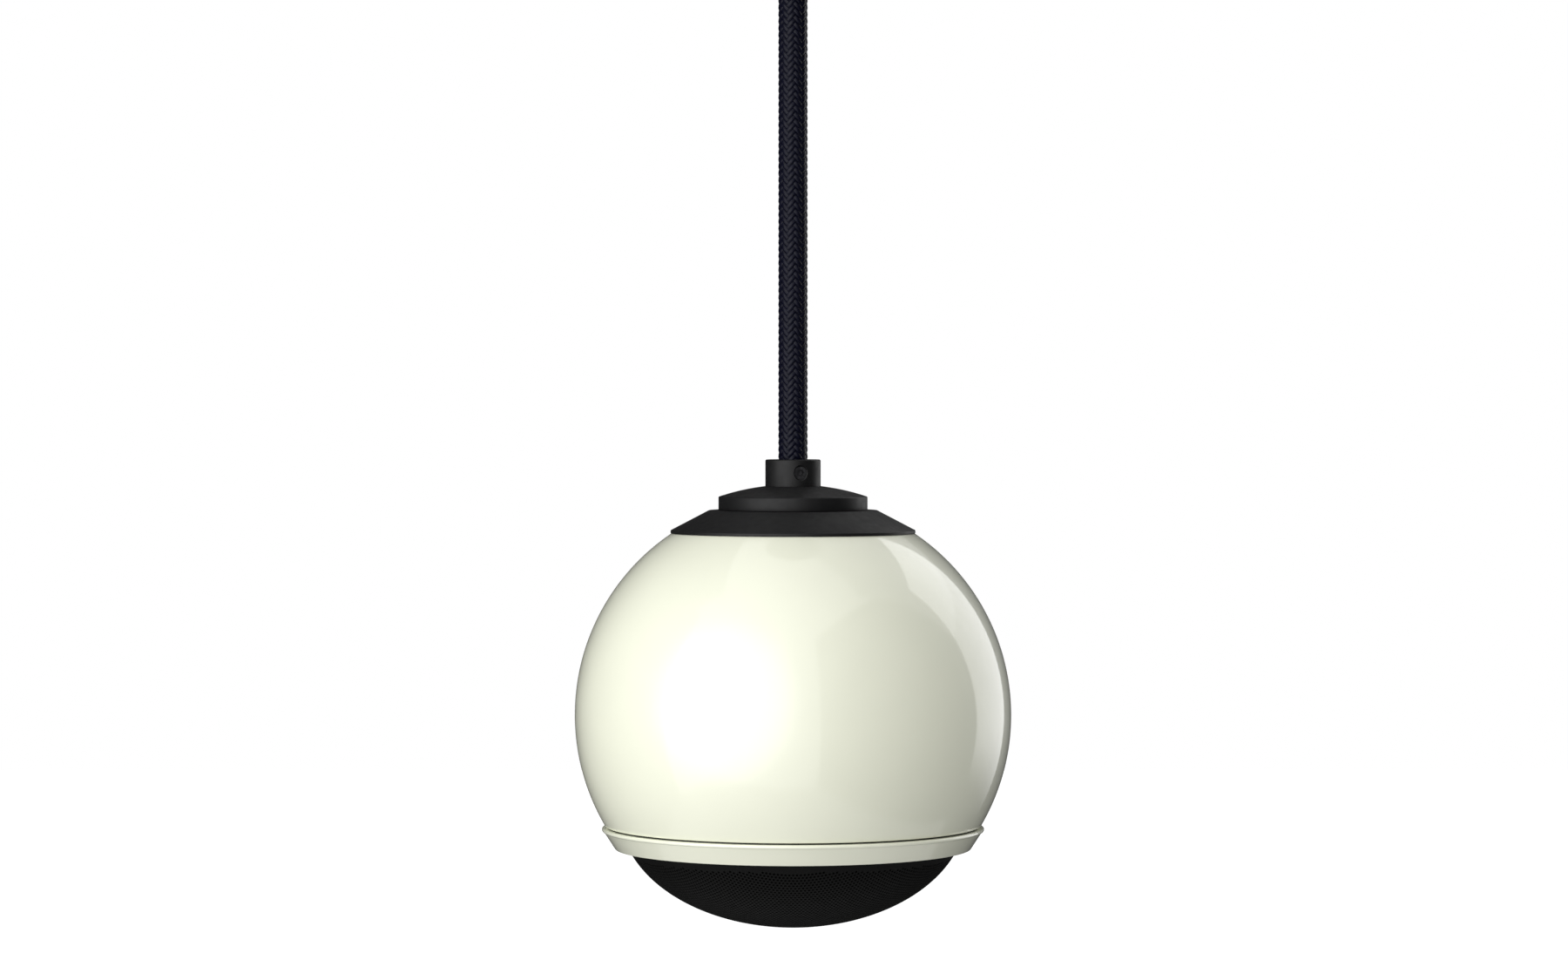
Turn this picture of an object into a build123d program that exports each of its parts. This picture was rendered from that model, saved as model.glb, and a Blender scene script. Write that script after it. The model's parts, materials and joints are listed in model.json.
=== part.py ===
"""Pendant speaker: a ball-shaped loudspeaker that hangs from a ceiling cup on a textile cord.

The origin is on the ceiling, at the middle of the ceiling plate, and +Z points up, so all of the part
hangs below zero. The front, where the collar's grub screw shows, faces -Y. Millimetres.
"""

from build123d import *
import math
import os

os.makedirs("parts", exist_ok=True)

# Fits shared by all pieces
slip = 0.2
thread_slip = 0.05
glue_line = 0.05

# Cord, with its two cores
cord_radius = 3.3
core_radius = 1.0
free_cord = 111.1
cord_bore_slip = 0.15

# Threaded tubes and their nuts
tube_radius = 4.95
tube_end = 1.2
tube_chamfer = 0.3
nut_across_flats = 14.0
nut_height = 4.0

# Cord grip, the same at both ends
collar_radius = 6.35
collar_height = 8.5
collar_edge = 0.35
grub_radius = 1.5
grub_edge_distance = 3.0
grub_tube_distance = 2.0
grub_sink = 0.45
grub_countersink = 0.35
grub_socket_flats = 1.5
grub_socket_depth = 1.6
grub_turn = 16.5

# Ceiling plate
plate_cup_gap = 2.8
plate_sheet = 1.6
ceiling_hole_radius = 2.25
ceiling_hole_edge = 6.0
wire_hole_radius = 6.0
ear_width = 12.0
ear_drop = 12.0
ear_bend_radius = 2.0
ear_slip = 0.3

# Ceiling cup
cup_radius = 30.0
cup_height = 21.6
cup_wall = 1.2
cup_corner_radius = 3.0
cup_ceiling_gap = 0.4
cup_screw_radius = 1.5
cup_screw_drop = 8.0
cup_screw_length = 6.0
cup_screw_head_radius = 2.8
cup_screw_head_height = 1.8

# Terminal block in the cup
block_length = 13.0
block_side = 4.0
block_height = 9.0
block_offset = 15.5
block_web = 0.5
way_core_gap = 0.3
block_edge = 0.8
lead_straight = 2.5
clamp_screw_radius = 1.3
block_screw_radius = 1.25
block_screw_head_radius = 2.2
block_screw_head_height = 1.4
driver_slot_width = 0.6
driver_slot_depth = 0.6

# Caps on top of the ball
flange_overhang = 0.97
flange_top_radius = 19.3
flange_height = 4.0
flange_rim_height = 0.7
flange_wall = 1.8
flange_hub_radius = 8.5
flange_rib_count = 6
flange_rib_width = 1.6
dome_step = 2.2
dome_wall_height = 3.1
dome_rise = 2.8
dome_edge = 0.3
dome_foot_width = 3.1
dome_relief_depth = 1.2
collar_sink = 2.4
gasket_sheet = 0.8
gasket_inset = 2.6

# Ball
ball_radius = 50.0
ball_wall = 1.5
deck_radius = 27.1
mouth_inset = 6.93
mouth_edge = 0.3
rim_gap = 0.15

# Fixing inside the ball
washer_radius = 9.5
washer_sheet = 0.8
tie_height = 2.4
tie_wall = 1.5
tie_head_length = 4.5
tie_head_width = 4.0
tie_corner = 0.5
cord_tail = 1.1

# Polyester fill
fill_bore_radius = 14.0
fill_lead_gap = 0.5
fill_deck_gap = 2.5

# Front ring
ring_step = 0.28
bead_radius = 0.45
groove_height = 0.35
groove_depth = 0.67
ring_height = 5.2
ring_taper = 2.27
ring_foot_width = 2.9
ring_spigot_wall = 1.8
ring_spigot_height = 2.8
lug_count = 3
lug_width = 9.0
lug_height = 1.6
ledge_height = 4.0
ledge_sheet = 2.6

# Grille
grille_sheet = 0.8
grille_rim_gap = 0.1
grille_tuck = 2.01
grille_half_depth = 26.17
grille_hole_flats = 3.9
grille_hole_pitch = 5.4
grille_border = 3.2

# Driver frame
driver_gasket_sheet = 0.5
frame_flange_width = 6.8
frame_flange_sheet = 2.0
frame_wall = 1.9
frame_shelf_radius = 22.0
frame_shelf_width = 2.0
frame_sheet = 1.4
frame_seat_setback = 1.1
frame_neck_height = 6.0
window_count = 6
window_width = 12.0
window_length = 6.6
window_corner_radius = 1.5
tab_clearance = 7.2
tab_width = 13.0

# Driver screws
screw_count = 4
screw_start = 45.0
screw_radius = 1.0
screw_head_radius = 1.85
screw_length = 4.2

# Moving system of the driver
surround_sheet = 0.5
surround_foot = 1.9
surround_roll_radius = 2.65
cone_sheet = 0.5
cone_rim_width = 1.8
cone_neck_height = 1.6
cone_depth = 10.2
cap_lap = 2.1
cap_sheet = 0.4
cap_rise = 3.2
former_radius = 9.5
former_sheet = 0.3
former_tail = 1.0
winding_sheet = 0.6
winding_height = 8.0
spider_sheet = 0.4
spider_lift = 2.4
spider_edge_gap = 0.7
spider_collar = 1.4
spider_wave_count = 2
spider_wave_height = 0.5

# Motor
top_plate_radius = 22.0
top_plate_sheet = 4.0
magnet_radius = 24.0
magnet_setback = 1.6
magnet_height = 10.0
magnet_edge = 0.4
back_plate_sheet = 4.0
pole_gap = 0.4
pole_vent_radius = 2.5
coil_gap_outer = 0.5

# Terminals of the driver
strip_length = 4.6
strip_sheet = 1.2
lug_spacing = 8.0
lug_inset = 2.6
tab_blade_width = 2.8
tab_blade_sheet = 0.5
tab_blade_height = 6.0
tab_foot_length = 3.0
spade_wall = 0.5
spade_height = 6.0
spade_lift = 0.7
spade_barrel_height = 3.5
spade_barrel_wall = 0.5
lead_engagement = 3.0
lead_slope = 1.5
lead_plate_gap = 0.5
lead_turn_inset = 2.5


def finish(piece, node):
    """Label a finished piece and write it to its own file."""
    piece.part.label = node
    export_step(piece.part, f"parts/{node}.step")


def turn(*outline, mode=Mode.ADD):
    """Turn a ring or disc about the vertical axis from its half section, as (radius, height) corners."""
    with BuildSketch(Plane.XZ) as half_section:
        with BuildLine():
            Polyline(*outline, close=True)
        make_face()
    revolve(half_section.sketch, axis=Axis.Z, mode=mode)


def turn_ring(inner, outer, bottom, top, mode=Mode.ADD):
    """Turn a plain ring, or a disc where the inner radius is 0."""
    turn((inner, bottom), (outer, bottom), (outer, top), (inner, top), mode=mode)


def on_ball(radius, at_radius):
    """Height above the ball's centre at which a sphere has a given radius."""
    return math.sqrt(radius**2 - at_radius**2)


def dome_drop(radius, rise, at_radius):
    """How far a shallow round dome has fallen below its top at a given radius."""
    curve_radius = (radius**2 + rise**2) / (2 * rise)
    return curve_radius - math.sqrt(curve_radius**2 - at_radius**2)


def bend_radii(route):
    """For each corner of a lead, the largest arc that its two runs leave room for."""
    radii = []
    for before, corner, after in zip(route, route[1:], route[2:]):
        run_in = Vector(*corner) - Vector(*before)
        run_out = Vector(*after) - Vector(*corner)
        half_turn = math.radians(run_in.get_angle(run_out)) / 2
        radii.append(0.45 * min(run_in.length, run_out.length) / math.tan(half_turn))
    return radii


# Radii of the ceiling end, of the tubes and of the cord grips
core_offset = core_radius + slip
tube_bore_radius = cord_radius + slip
tube_hole_radius = tube_radius + cord_bore_slip
grub_height = collar_height - grub_edge_distance
collar_thread_depth = grub_height - grub_tube_distance
cup_inner_radius = cup_radius - cup_wall
plate_radius = cup_inner_radius - plate_cup_gap
ceiling_hole_spacing = 2 * (plate_radius - ceiling_hole_edge)
ear_face = math.sqrt((cup_inner_radius - ear_slip) ** 2 - (ear_width / 2) ** 2)
block_way_spacing = 2 * (block_screw_head_radius + clamp_screw_radius + block_web)
block_width = block_way_spacing + 2 * block_side
block_way_radius = core_radius + way_core_gap

# Radii of the caps, and of the front ring and what it carries, from the ball inwards
flange_radius = deck_radius + flange_overhang
gasket_radius = deck_radius - gasket_inset
dome_radius = flange_top_radius - dome_step
dome_relief_radius = dome_radius - dome_foot_width
inner_ball_radius = ball_radius - ball_wall
mouth_radius = ball_radius - mouth_inset
ring_radius = mouth_radius + ring_step
ring_foot_radius = mouth_radius - ring_taper
ring_bore_radius = ring_foot_radius - ring_foot_width
grille_radius = ring_bore_radius - rim_gap
frame_radius = ring_bore_radius - slip
frame_opening_radius = frame_radius - frame_flange_width
ledge_radius = frame_opening_radius + surround_foot
screw_circle_radius = (ledge_radius + frame_radius) / 2

# Radii of the driver's frame, cone and motor, from the coil outwards
coil_bore_radius = former_radius + former_sheet + winding_sheet + coil_gap_outer
pole_radius = former_radius - pole_gap
cap_radius = former_radius + cap_lap
frame_seat_radius = coil_bore_radius + frame_seat_setback
magnet_bore_radius = coil_bore_radius + magnet_setback
frame_neck_radius = frame_shelf_radius - frame_shelf_width
window_radius = (frame_shelf_radius + frame_opening_radius) / 2
tab_reach = magnet_radius + tab_clearance
lug_offset = tab_reach - lug_inset

# Heights of the ceiling end
cup_floor = -(cup_ceiling_gap + cup_height)
ceiling_tube_top = cup_floor + cup_wall + nut_height + tube_end
ceiling_tube_bottom = cup_floor - collar_thread_depth
cord_top = ceiling_tube_top + cord_tail
ceiling_collar_end = cup_floor - collar_height

# Heights of the speaker: the collar's top end sets where the ball hangs
deck_height = on_ball(ball_radius, deck_radius)
flange_seat_height = deck_height + gasket_sheet
flange_top_height = flange_seat_height + flange_height
dome_edge_height = flange_top_height + dome_wall_height
dome_top_height = dome_edge_height + dome_rise
collar_seat_height = dome_top_height - dome_drop(dome_radius, dome_rise, collar_radius) - collar_sink
ball_z = ceiling_collar_end - free_cord - collar_height - collar_seat_height

deck_z = ball_z + deck_height
flange_seat_z = ball_z + flange_seat_height
flange_top_z = ball_z + flange_top_height
dome_edge_z = ball_z + dome_edge_height
dome_top_z = ball_z + dome_top_height
collar_seat_z = ball_z + collar_seat_height
washer_top_z = deck_z - ball_wall
nut_top_z = washer_top_z - washer_sheet
tube_bottom_z = nut_top_z - nut_height - tube_end
cord_bottom = tube_bottom_z - tie_height - cord_tail

# Heights of the front ring and of what it carries
mouth_z = ball_z - on_ball(ball_radius, mouth_radius)
ring_bottom_z = mouth_z - ring_height
ledge_z = ring_bottom_z + ledge_height
frame_back_z = ledge_z - driver_gasket_sheet
frame_face_z = frame_back_z - frame_flange_sheet
foot_top_z = frame_face_z + surround_sheet
cone_throat_z = foot_top_z + cone_depth
spider_low_z = cone_throat_z + cone_neck_height + spider_lift
shelf_z = spider_low_z + spider_sheet
seat_z = shelf_z + frame_neck_height
magnet_z = seat_z + top_plate_sheet
back_plate_z = magnet_z + magnet_height
motor_top_z = back_plate_z + back_plate_sheet
lead_bend_z = (cord_bottom + motor_top_z) / 2

# Ceiling plate: a stamped disc with two ears bent down for the cup's screws
with BuildPart() as ceiling_plate:
    turn_ring(0, plate_radius, -plate_sheet, 0)
    with BuildSketch(Plane.XZ) as ear_section:
        with BuildLine():
            Polyline(
                (plate_radius - ear_width / 2, 0),
                (ear_face, 0),
                (ear_face, -ear_drop),
                (ear_face - plate_sheet, -ear_drop),
                (ear_face - plate_sheet, -plate_sheet),
                (plate_radius - ear_width / 2, -plate_sheet),
                close=True,
            )
        make_face()
        mirror(about=Plane.YZ)
    extrude(amount=ear_width / 2, both=True)
    ear_corners = ceiling_plate.edges().filter_by(Axis.Y).group_by(Axis.Z)[-1]
    fillet(ear_corners, ear_bend_radius)
    with BuildSketch() as plate_holes:
        Circle(wire_hole_radius)
        with GridLocations(0, ceiling_hole_spacing, 1, 2):
            Circle(ceiling_hole_radius)
        with Locations((block_offset, 0)):
            Circle(block_screw_radius + thread_slip)
    extrude(amount=-plate_sheet, mode=Mode.SUBTRACT)
    with BuildSketch(Plane.YZ) as ear_holes:
        with Locations((0, -cup_screw_drop)):
            Circle(cup_screw_radius)
    extrude(amount=cup_radius, both=True, mode=Mode.SUBTRACT)
finish(ceiling_plate, "ceiling_plate")

# Ceiling cup: drawn in one piece, open towards the ceiling
with BuildPart() as ceiling_cup:
    with BuildSketch(Plane.XZ) as cup_section:
        with BuildLine():
            Polyline(
                (tube_hole_radius, cup_floor),
                (cup_radius, cup_floor),
                (cup_radius, -cup_ceiling_gap),
                (cup_inner_radius, -cup_ceiling_gap),
                (cup_inner_radius, cup_floor + cup_wall),
                (tube_hole_radius, cup_floor + cup_wall),
                close=True,
            )
        make_face()
        outer_corner = cup_section.vertices().group_by(Axis.Y)[0].sort_by(Axis.X)[-1]
        fillet(outer_corner, cup_corner_radius)
        inner_corner = (
            cup_section.vertices()
            .filter_by_position(Axis.Y, cup_floor + cup_wall / 2, cup_floor + cup_wall * 1.5)
            .sort_by(Axis.X)[-1]
        )
        fillet(inner_corner, cup_corner_radius - cup_wall)
    revolve(axis=Axis.Z)
    with BuildSketch(Plane.YZ) as cup_holes:
        with Locations((0, -cup_screw_drop)):
            Circle(cup_screw_radius + slip)
    extrude(amount=cup_radius + cup_wall, both=True, mode=Mode.SUBTRACT)
finish(ceiling_cup, "ceiling_cup")

# Two pan-head screws that hold the cup to the plate's ears
with BuildPart() as cup_screws:
    screw_face = cup_radius + glue_line
    with BuildSketch(Plane.YZ.offset(screw_face)) as cup_shank:
        with Locations((0, -cup_screw_drop)):
            Circle(cup_screw_radius - thread_slip)
    extrude(amount=-cup_screw_length)
    with BuildSketch(Plane.YZ.offset(screw_face)) as cup_head:
        with Locations((0, -cup_screw_drop)):
            Circle(cup_screw_head_radius)
    extrude(amount=cup_screw_head_height)
    head_rim = cup_screws.edges().filter_by(GeomType.CIRCLE).group_by(Axis.X)[-1]
    fillet(head_rim, cup_screw_head_height / 2)
    head_end = screw_face + cup_screw_head_height
    with Locations((head_end, 0, -cup_screw_drop)):
        Box(
            2 * driver_slot_depth,
            driver_slot_width,
            2 * cup_screw_head_radius,
            mode=Mode.SUBTRACT,
        )
    mirror(about=Plane.YZ)
finish(cup_screws, "cup_screws")

# Threaded tubes: one through the cup's floor, one through the caps and the ball's deck
tube_ends = {
    "ceiling_nipple": (ceiling_tube_bottom, ceiling_tube_top),
    "top_nipple": (tube_bottom_z, collar_seat_z + collar_thread_depth),
}
for tube_name, (tube_low, tube_high) in tube_ends.items():
    with BuildPart() as tube:
        turn_ring(tube_bore_radius, tube_radius, tube_low, tube_high)
        chamfer(tube.edges().filter_by(GeomType.CIRCLE).group_by(SortBy.RADIUS)[-1], tube_chamfer)
    finish(tube, tube_name)

# Hexagon nuts on the threaded tubes
nut_seats = {
    "ceiling_nut": cup_floor + cup_wall,
    "inner_nut": nut_top_z - nut_height,
}
for nut_name, nut_low in nut_seats.items():
    with BuildPart() as nut:
        with BuildSketch(Plane.XY.offset(nut_low)) as nut_plan:
            RegularPolygon(nut_across_flats / 2, 6, major_radius=False)
            Circle(tube_radius + thread_slip, mode=Mode.SUBTRACT)
        extrude(amount=nut_height)
    finish(nut, nut_name)

# Cord grips: the same turned collar stands on the cap and hangs, turned over, under the ceiling cup
collar_planes = {
    "cord_collar": Plane(origin=(0, 0, collar_seat_z)),
    "ceiling_collar": Plane(origin=(0, 0, cup_floor), x_dir=(1, 0, 0), z_dir=(0, 0, -1)),
}
grub_names = {"cord_collar": "cord_grub_screw", "ceiling_collar": "ceiling_grub_screw"}
grub_angle = math.radians(grub_turn)
grub_direction = (math.sin(grub_angle), -math.cos(grub_angle), 0)
for collar_name, seat in collar_planes.items():
    side = seat.z_dir.Z
    grub_plane = Plane(origin=(0, 0, seat.origin.Z + side * grub_height), z_dir=grub_direction)
    with BuildPart(seat) as collar:
        Cylinder(collar_radius, collar_height, align=(Align.CENTER, Align.CENTER, Align.MIN))
        fillet(collar.edges().filter_by(GeomType.CIRCLE), collar_edge)
        Cylinder(
            tube_radius + thread_slip,
            collar_thread_depth + slip,
            align=(Align.CENTER, Align.CENTER, Align.MIN),
            mode=Mode.SUBTRACT,
        )
        Cylinder(
            cord_radius + cord_bore_slip,
            collar_height,
            align=(Align.CENTER, Align.CENTER, Align.MIN),
            mode=Mode.SUBTRACT,
        )
        with BuildSketch(grub_plane) as grub_hole:
            Circle(grub_radius)
        extrude(amount=collar_radius, mode=Mode.SUBTRACT)
        with BuildSketch(grub_plane.offset(collar_radius - grub_countersink)) as grub_mouth:
            Circle(grub_radius)
        with BuildSketch(grub_plane.offset(collar_radius + slip)) as grub_mouth_end:
            Circle(grub_radius + grub_countersink + slip)
        loft(mode=Mode.SUBTRACT)
    finish(collar, collar_name)

    grub_tip = cord_radius + glue_line
    with BuildPart() as grub_screw:
        with BuildSketch(grub_plane.offset(grub_tip)) as grub_body:
            Circle(grub_radius - thread_slip)
        extrude(amount=collar_radius - grub_sink - grub_tip)
        with BuildSketch(grub_plane.offset(collar_radius - grub_sink)) as grub_socket:
            RegularPolygon(grub_socket_flats / 2, 6, major_radius=False)
        extrude(amount=-grub_socket_depth, mode=Mode.SUBTRACT)
    finish(grub_screw, grub_names[collar_name])

# Terminal block under the ceiling plate: two ways, each with a clamp screw from below
block_top = -plate_sheet
block_bottom = block_top - block_height
way_z = block_top - block_height / 2
with BuildPart() as terminal_block:
    with BuildSketch(Plane.XY.offset(block_top)) as block_plan:
        with Locations((block_offset, 0)):
            RectangleRounded(block_length, block_width, block_edge)
    extrude(amount=-block_height)
    fillet(terminal_block.edges().group_by(Axis.Z)[0], block_edge / 2)
    with BuildSketch(Plane.YZ) as wire_ways:
        with Locations((0, way_z)):
            with GridLocations(block_way_spacing, 0, 2, 1):
                Circle(block_way_radius)
    extrude(amount=cup_radius, mode=Mode.SUBTRACT)
    with BuildSketch(Plane.XY.offset(block_bottom)) as clamp_holes:
        with Locations((block_offset, 0)):
            with GridLocations(0, block_way_spacing, 1, 2):
                Circle(clamp_screw_radius + thread_slip)
            Circle(block_screw_radius + slip)
    extrude(amount=block_height, mode=Mode.SUBTRACT)
    with BuildSketch(Plane.XY.offset(block_bottom)) as screw_recess:
        with Locations((block_offset, 0)):
            Circle(block_screw_head_radius + slip)
    extrude(amount=block_screw_head_height + slip, mode=Mode.SUBTRACT)
finish(terminal_block, "terminal_block")

# Clamp screws, turned down onto the cores
with BuildPart() as terminal_clamp_screws:
    with BuildSketch(Plane.XY.offset(block_bottom + slip)) as clamp_body:
        with Locations((block_offset, 0)):
            with GridLocations(0, block_way_spacing, 1, 2):
                Circle(clamp_screw_radius)
    extrude(amount=way_z - core_radius - glue_line - block_bottom - slip)
    with BuildSketch(Plane.XY.offset(block_bottom + slip)) as clamp_slots:
        with Locations((block_offset, 0)):
            with GridLocations(0, block_way_spacing, 1, 2):
                Rectangle(2 * clamp_screw_radius, driver_slot_width)
    extrude(amount=driver_slot_depth, mode=Mode.SUBTRACT)
finish(terminal_clamp_screws, "terminal_clamp_screws")

# Screw that holds the block to the plate, its head in the block's recess
with BuildPart() as terminal_block_screw:
    block_screw_face = block_bottom + block_screw_head_height + slip
    with BuildSketch(Plane.XY.offset(block_screw_face)) as block_screw_shank:
        with Locations((block_offset, 0)):
            Circle(block_screw_radius)
    extrude(amount=-block_screw_face)
    with BuildSketch(Plane.XY.offset(block_screw_face)) as block_screw_head:
        with Locations((block_offset, 0)):
            Circle(block_screw_head_radius)
    extrude(amount=-block_screw_head_height)
    with BuildSketch(Plane.XY.offset(block_screw_face - block_screw_head_height)) as block_screw_slot:
        with Locations((block_offset, 0)):
            Rectangle(2 * block_screw_head_radius, driver_slot_width)
    extrude(amount=driver_slot_depth, mode=Mode.SUBTRACT)
finish(terminal_block_screw, "terminal_block_screw")

# The cord: straight, because the speaker's weight pulls it, from the cup down into the ball
with BuildPart() as cord:
    with BuildSketch(Plane.XY.offset(cord_bottom)) as cord_section:
        Circle(cord_radius)
    extrude(amount=cord_top - cord_bottom)
finish(cord, "cord")

# The cord's two cores in the ceiling cup, from its end to the terminal block
for core_side, core_name in ((1, "positive"), (-1, "negative")):
    ceiling_route = [
        (0, core_side * core_offset, cord_top),
        (0, core_side * core_offset, way_z),
        (block_offset - block_length / 2 - lead_straight, core_side * block_way_spacing / 2, way_z),
        (block_offset + block_length / 4, core_side * block_way_spacing / 2, way_z),
    ]
    with BuildPart() as ceiling_lead:
        with BuildLine() as ceiling_lead_path:
            FilletPolyline(*ceiling_route, radius=bend_radii(ceiling_route))
        with BuildSketch(Plane(origin=ceiling_lead_path.line @ 0, z_dir=ceiling_lead_path.line % 0)):
            Circle(core_radius)
        sweep()
    finish(ceiling_lead, f"ceiling_lead_{core_name}")

# Domed cap: turned, with a counterbore for the collar and a shallow relief underneath
with BuildPart() as cap_dome:
    with BuildSketch(Plane.XZ) as dome_section:
        with BuildLine():
            dome_curve = ThreePointArc(
                (0, dome_top_z),
                (dome_radius / 2, dome_top_z - dome_drop(dome_radius, dome_rise, dome_radius / 2)),
                (dome_radius, dome_edge_z),
            )
            Polyline(
                dome_curve @ 1,
                (dome_radius, flange_top_z),
                (dome_relief_radius, flange_top_z),
                (dome_relief_radius, flange_top_z + dome_relief_depth),
                (flange_hub_radius, flange_top_z + dome_relief_depth),
                (flange_hub_radius, flange_top_z),
                (0, flange_top_z),
                dome_curve @ 0,
            )
        make_face()
        dome_corner = dome_section.vertices().group_by(Axis.X)[-1].sort_by(Axis.Y)[-1]
        fillet(dome_corner, dome_edge)
    revolve(axis=Axis.Z)
    turn_ring(0, tube_hole_radius, flange_top_z, collar_seat_z, mode=Mode.SUBTRACT)
    turn_ring(
        0,
        collar_radius + thread_slip,
        collar_seat_z,
        dome_top_z + slip,
        mode=Mode.SUBTRACT,
    )
finish(cap_dome, "cap_dome")

# Conical flange: cast hollow, with a hub for the tube and ribs out to its rim
rim_low_z = ball_z + on_ball(ball_radius, flange_radius) + rim_gap
rim_inner_radius = flange_radius - flange_wall
with BuildPart() as cap_flange:
    turn(
        (tube_hole_radius, flange_seat_z),
        (flange_hub_radius, flange_seat_z),
        (flange_hub_radius, flange_top_z - flange_wall),
        (flange_top_radius - flange_wall / 2, flange_top_z - flange_wall),
        (rim_inner_radius, rim_low_z + flange_rim_height + rim_gap),
        (rim_inner_radius, deck_z + rim_gap),
        (deck_radius, deck_z + rim_gap),
        (flange_radius, rim_low_z),
        (flange_radius, rim_low_z + flange_rim_height),
        (flange_top_radius, flange_top_z),
        (tube_hole_radius, flange_top_z),
    )
    with BuildSketch(Plane.XY.offset(flange_top_z - flange_wall)) as flange_ribs:
        rib_length = flange_top_radius - flange_hub_radius
        with PolarLocations(flange_hub_radius + rib_length / 2 - slip, flange_rib_count):
            Rectangle(rib_length, flange_rib_width)
    extrude(amount=flange_seat_z - flange_top_z + flange_wall)
finish(cap_flange, "cap_flange")

# Soft washer between the flange and the ball's deck
with BuildPart() as flange_gasket:
    turn_ring(tube_hole_radius, gasket_radius, deck_z, flange_seat_z)
finish(flange_gasket, "flange_gasket")

# Ball: spun in one piece, with a flat deck on top and an open mouth below
inner_deck_radius = on_ball(inner_ball_radius, deck_height - ball_wall)
inner_mouth_radius = on_ball(inner_ball_radius, ball_z - mouth_z)
with BuildPart() as ball_shell:
    with BuildSketch(Plane.XZ) as ball_section:
        with BuildLine():
            outer_wall = ThreePointArc(
                (deck_radius, deck_z), (ball_radius, ball_z), (mouth_radius, mouth_z)
            )
            inner_wall = ThreePointArc(
                (inner_mouth_radius, mouth_z),
                (inner_ball_radius, ball_z),
                (inner_deck_radius, deck_z - ball_wall),
            )
            Line(outer_wall @ 1, inner_wall @ 0)
            Polyline(
                inner_wall @ 1,
                (tube_hole_radius, deck_z - ball_wall),
                (tube_hole_radius, deck_z),
                outer_wall @ 0,
            )
        make_face()
        mouth_corner = ball_section.vertices().group_by(Axis.Y)[0].sort_by(Axis.X)[-1]
        fillet(mouth_corner, mouth_edge)
    revolve(axis=Axis.Z)
finish(ball_shell, "ball_shell")

# Washer under the deck
with BuildPart() as inner_washer:
    turn_ring(tube_radius + slip, washer_radius, nut_top_z, washer_top_z)
finish(inner_washer, "inner_washer")

# Tie drawn tight round the cord, under the tube's end, so that the cord can't be pulled out
with BuildPart() as cord_tie:
    with BuildSketch(Plane.XY.offset(tube_bottom_z)) as tie_plan:
        Circle(cord_radius + glue_line + tie_wall)
        with Locations((0, cord_radius + tie_head_length / 2)):
            RectangleRounded(tie_head_width, tie_head_length, tie_corner)
        Circle(cord_radius + glue_line, mode=Mode.SUBTRACT)
    extrude(amount=-tie_height)
finish(cord_tie, "cord_tie")

# Polyester fill glued under the top of the ball, with a hole for the cord's fixing
fill_radius = inner_ball_radius - slip
fill_bottom_height = lead_bend_z + core_radius + fill_lead_gap - ball_z
fill_top_height = washer_top_z - fill_deck_gap - ball_z
fill_mid_height = (fill_bottom_height + fill_top_height) / 2
with BuildPart() as damping_fill:
    with BuildSketch(Plane.XZ) as fill_section:
        with BuildLine():
            fill_edge = ThreePointArc(
                (on_ball(fill_radius, fill_bottom_height), ball_z + fill_bottom_height),
                (on_ball(fill_radius, fill_mid_height), ball_z + fill_mid_height),
                (on_ball(fill_radius, fill_top_height), ball_z + fill_top_height),
            )
            Polyline(
                fill_edge @ 1,
                (fill_bore_radius, ball_z + fill_top_height),
                (fill_bore_radius, ball_z + fill_bottom_height),
                fill_edge @ 0,
            )
        make_face()
    revolve(axis=Axis.Z)
finish(damping_fill, "damping_fill")

# Front ring: a spigot with snap lugs in the ball's mouth, a bead set off by a groove, a tapered band,
# and a ledge that the driver is screwed to
spigot_radius = inner_mouth_radius - slip
groove_radius = mouth_radius - groove_depth
bead_z = mouth_z - groove_height - bead_radius
spigot_top_z = mouth_z + ring_spigot_height
ledge_top_z = ledge_z + ledge_sheet
lug_radius = on_ball(inner_ball_radius, ball_z - spigot_top_z + lug_height) - glue_line
with BuildPart() as front_ring:
    with BuildSketch(Plane.XZ) as ring_section:
        with BuildLine():
            bead = ThreePointArc(
                (ring_radius, bead_z + bead_radius),
                (ring_radius + bead_radius, bead_z),
                (ring_radius, bead_z - bead_radius),
            )
            Polyline(
                bead @ 1,
                (ring_foot_radius, ring_bottom_z),
                (ring_bore_radius, ring_bottom_z),
                (ring_bore_radius, ledge_z),
                (ledge_radius, ledge_z),
                (ledge_radius, ledge_top_z),
                (spigot_radius - ring_spigot_wall, ledge_top_z),
                (spigot_radius - ring_spigot_wall, spigot_top_z),
                (spigot_radius, spigot_top_z),
                (spigot_radius, mouth_z),
                (groove_radius, mouth_z),
                (groove_radius, mouth_z - groove_height),
                bead @ 0,
            )
        make_face()
    revolve(axis=Axis.Z)
    with BuildSketch(Plane.XY.offset(spigot_top_z)) as snap_lugs:
        with PolarLocations(spigot_radius, lug_count):
            Rectangle(2 * ring_spigot_wall, lug_width)
        Circle(lug_radius, mode=Mode.INTERSECT)
        Circle(spigot_radius - ring_spigot_wall / 2, mode=Mode.SUBTRACT)
    extrude(amount=-lug_height)
    with BuildSketch(Plane.XY.offset(ledge_z)) as ledge_holes:
        with PolarLocations(screw_circle_radius, screw_count, start_angle=screw_start):
            Circle(screw_radius)
    extrude(amount=ledge_sheet, mode=Mode.SUBTRACT)
finish(front_ring, "front_ring")

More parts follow.
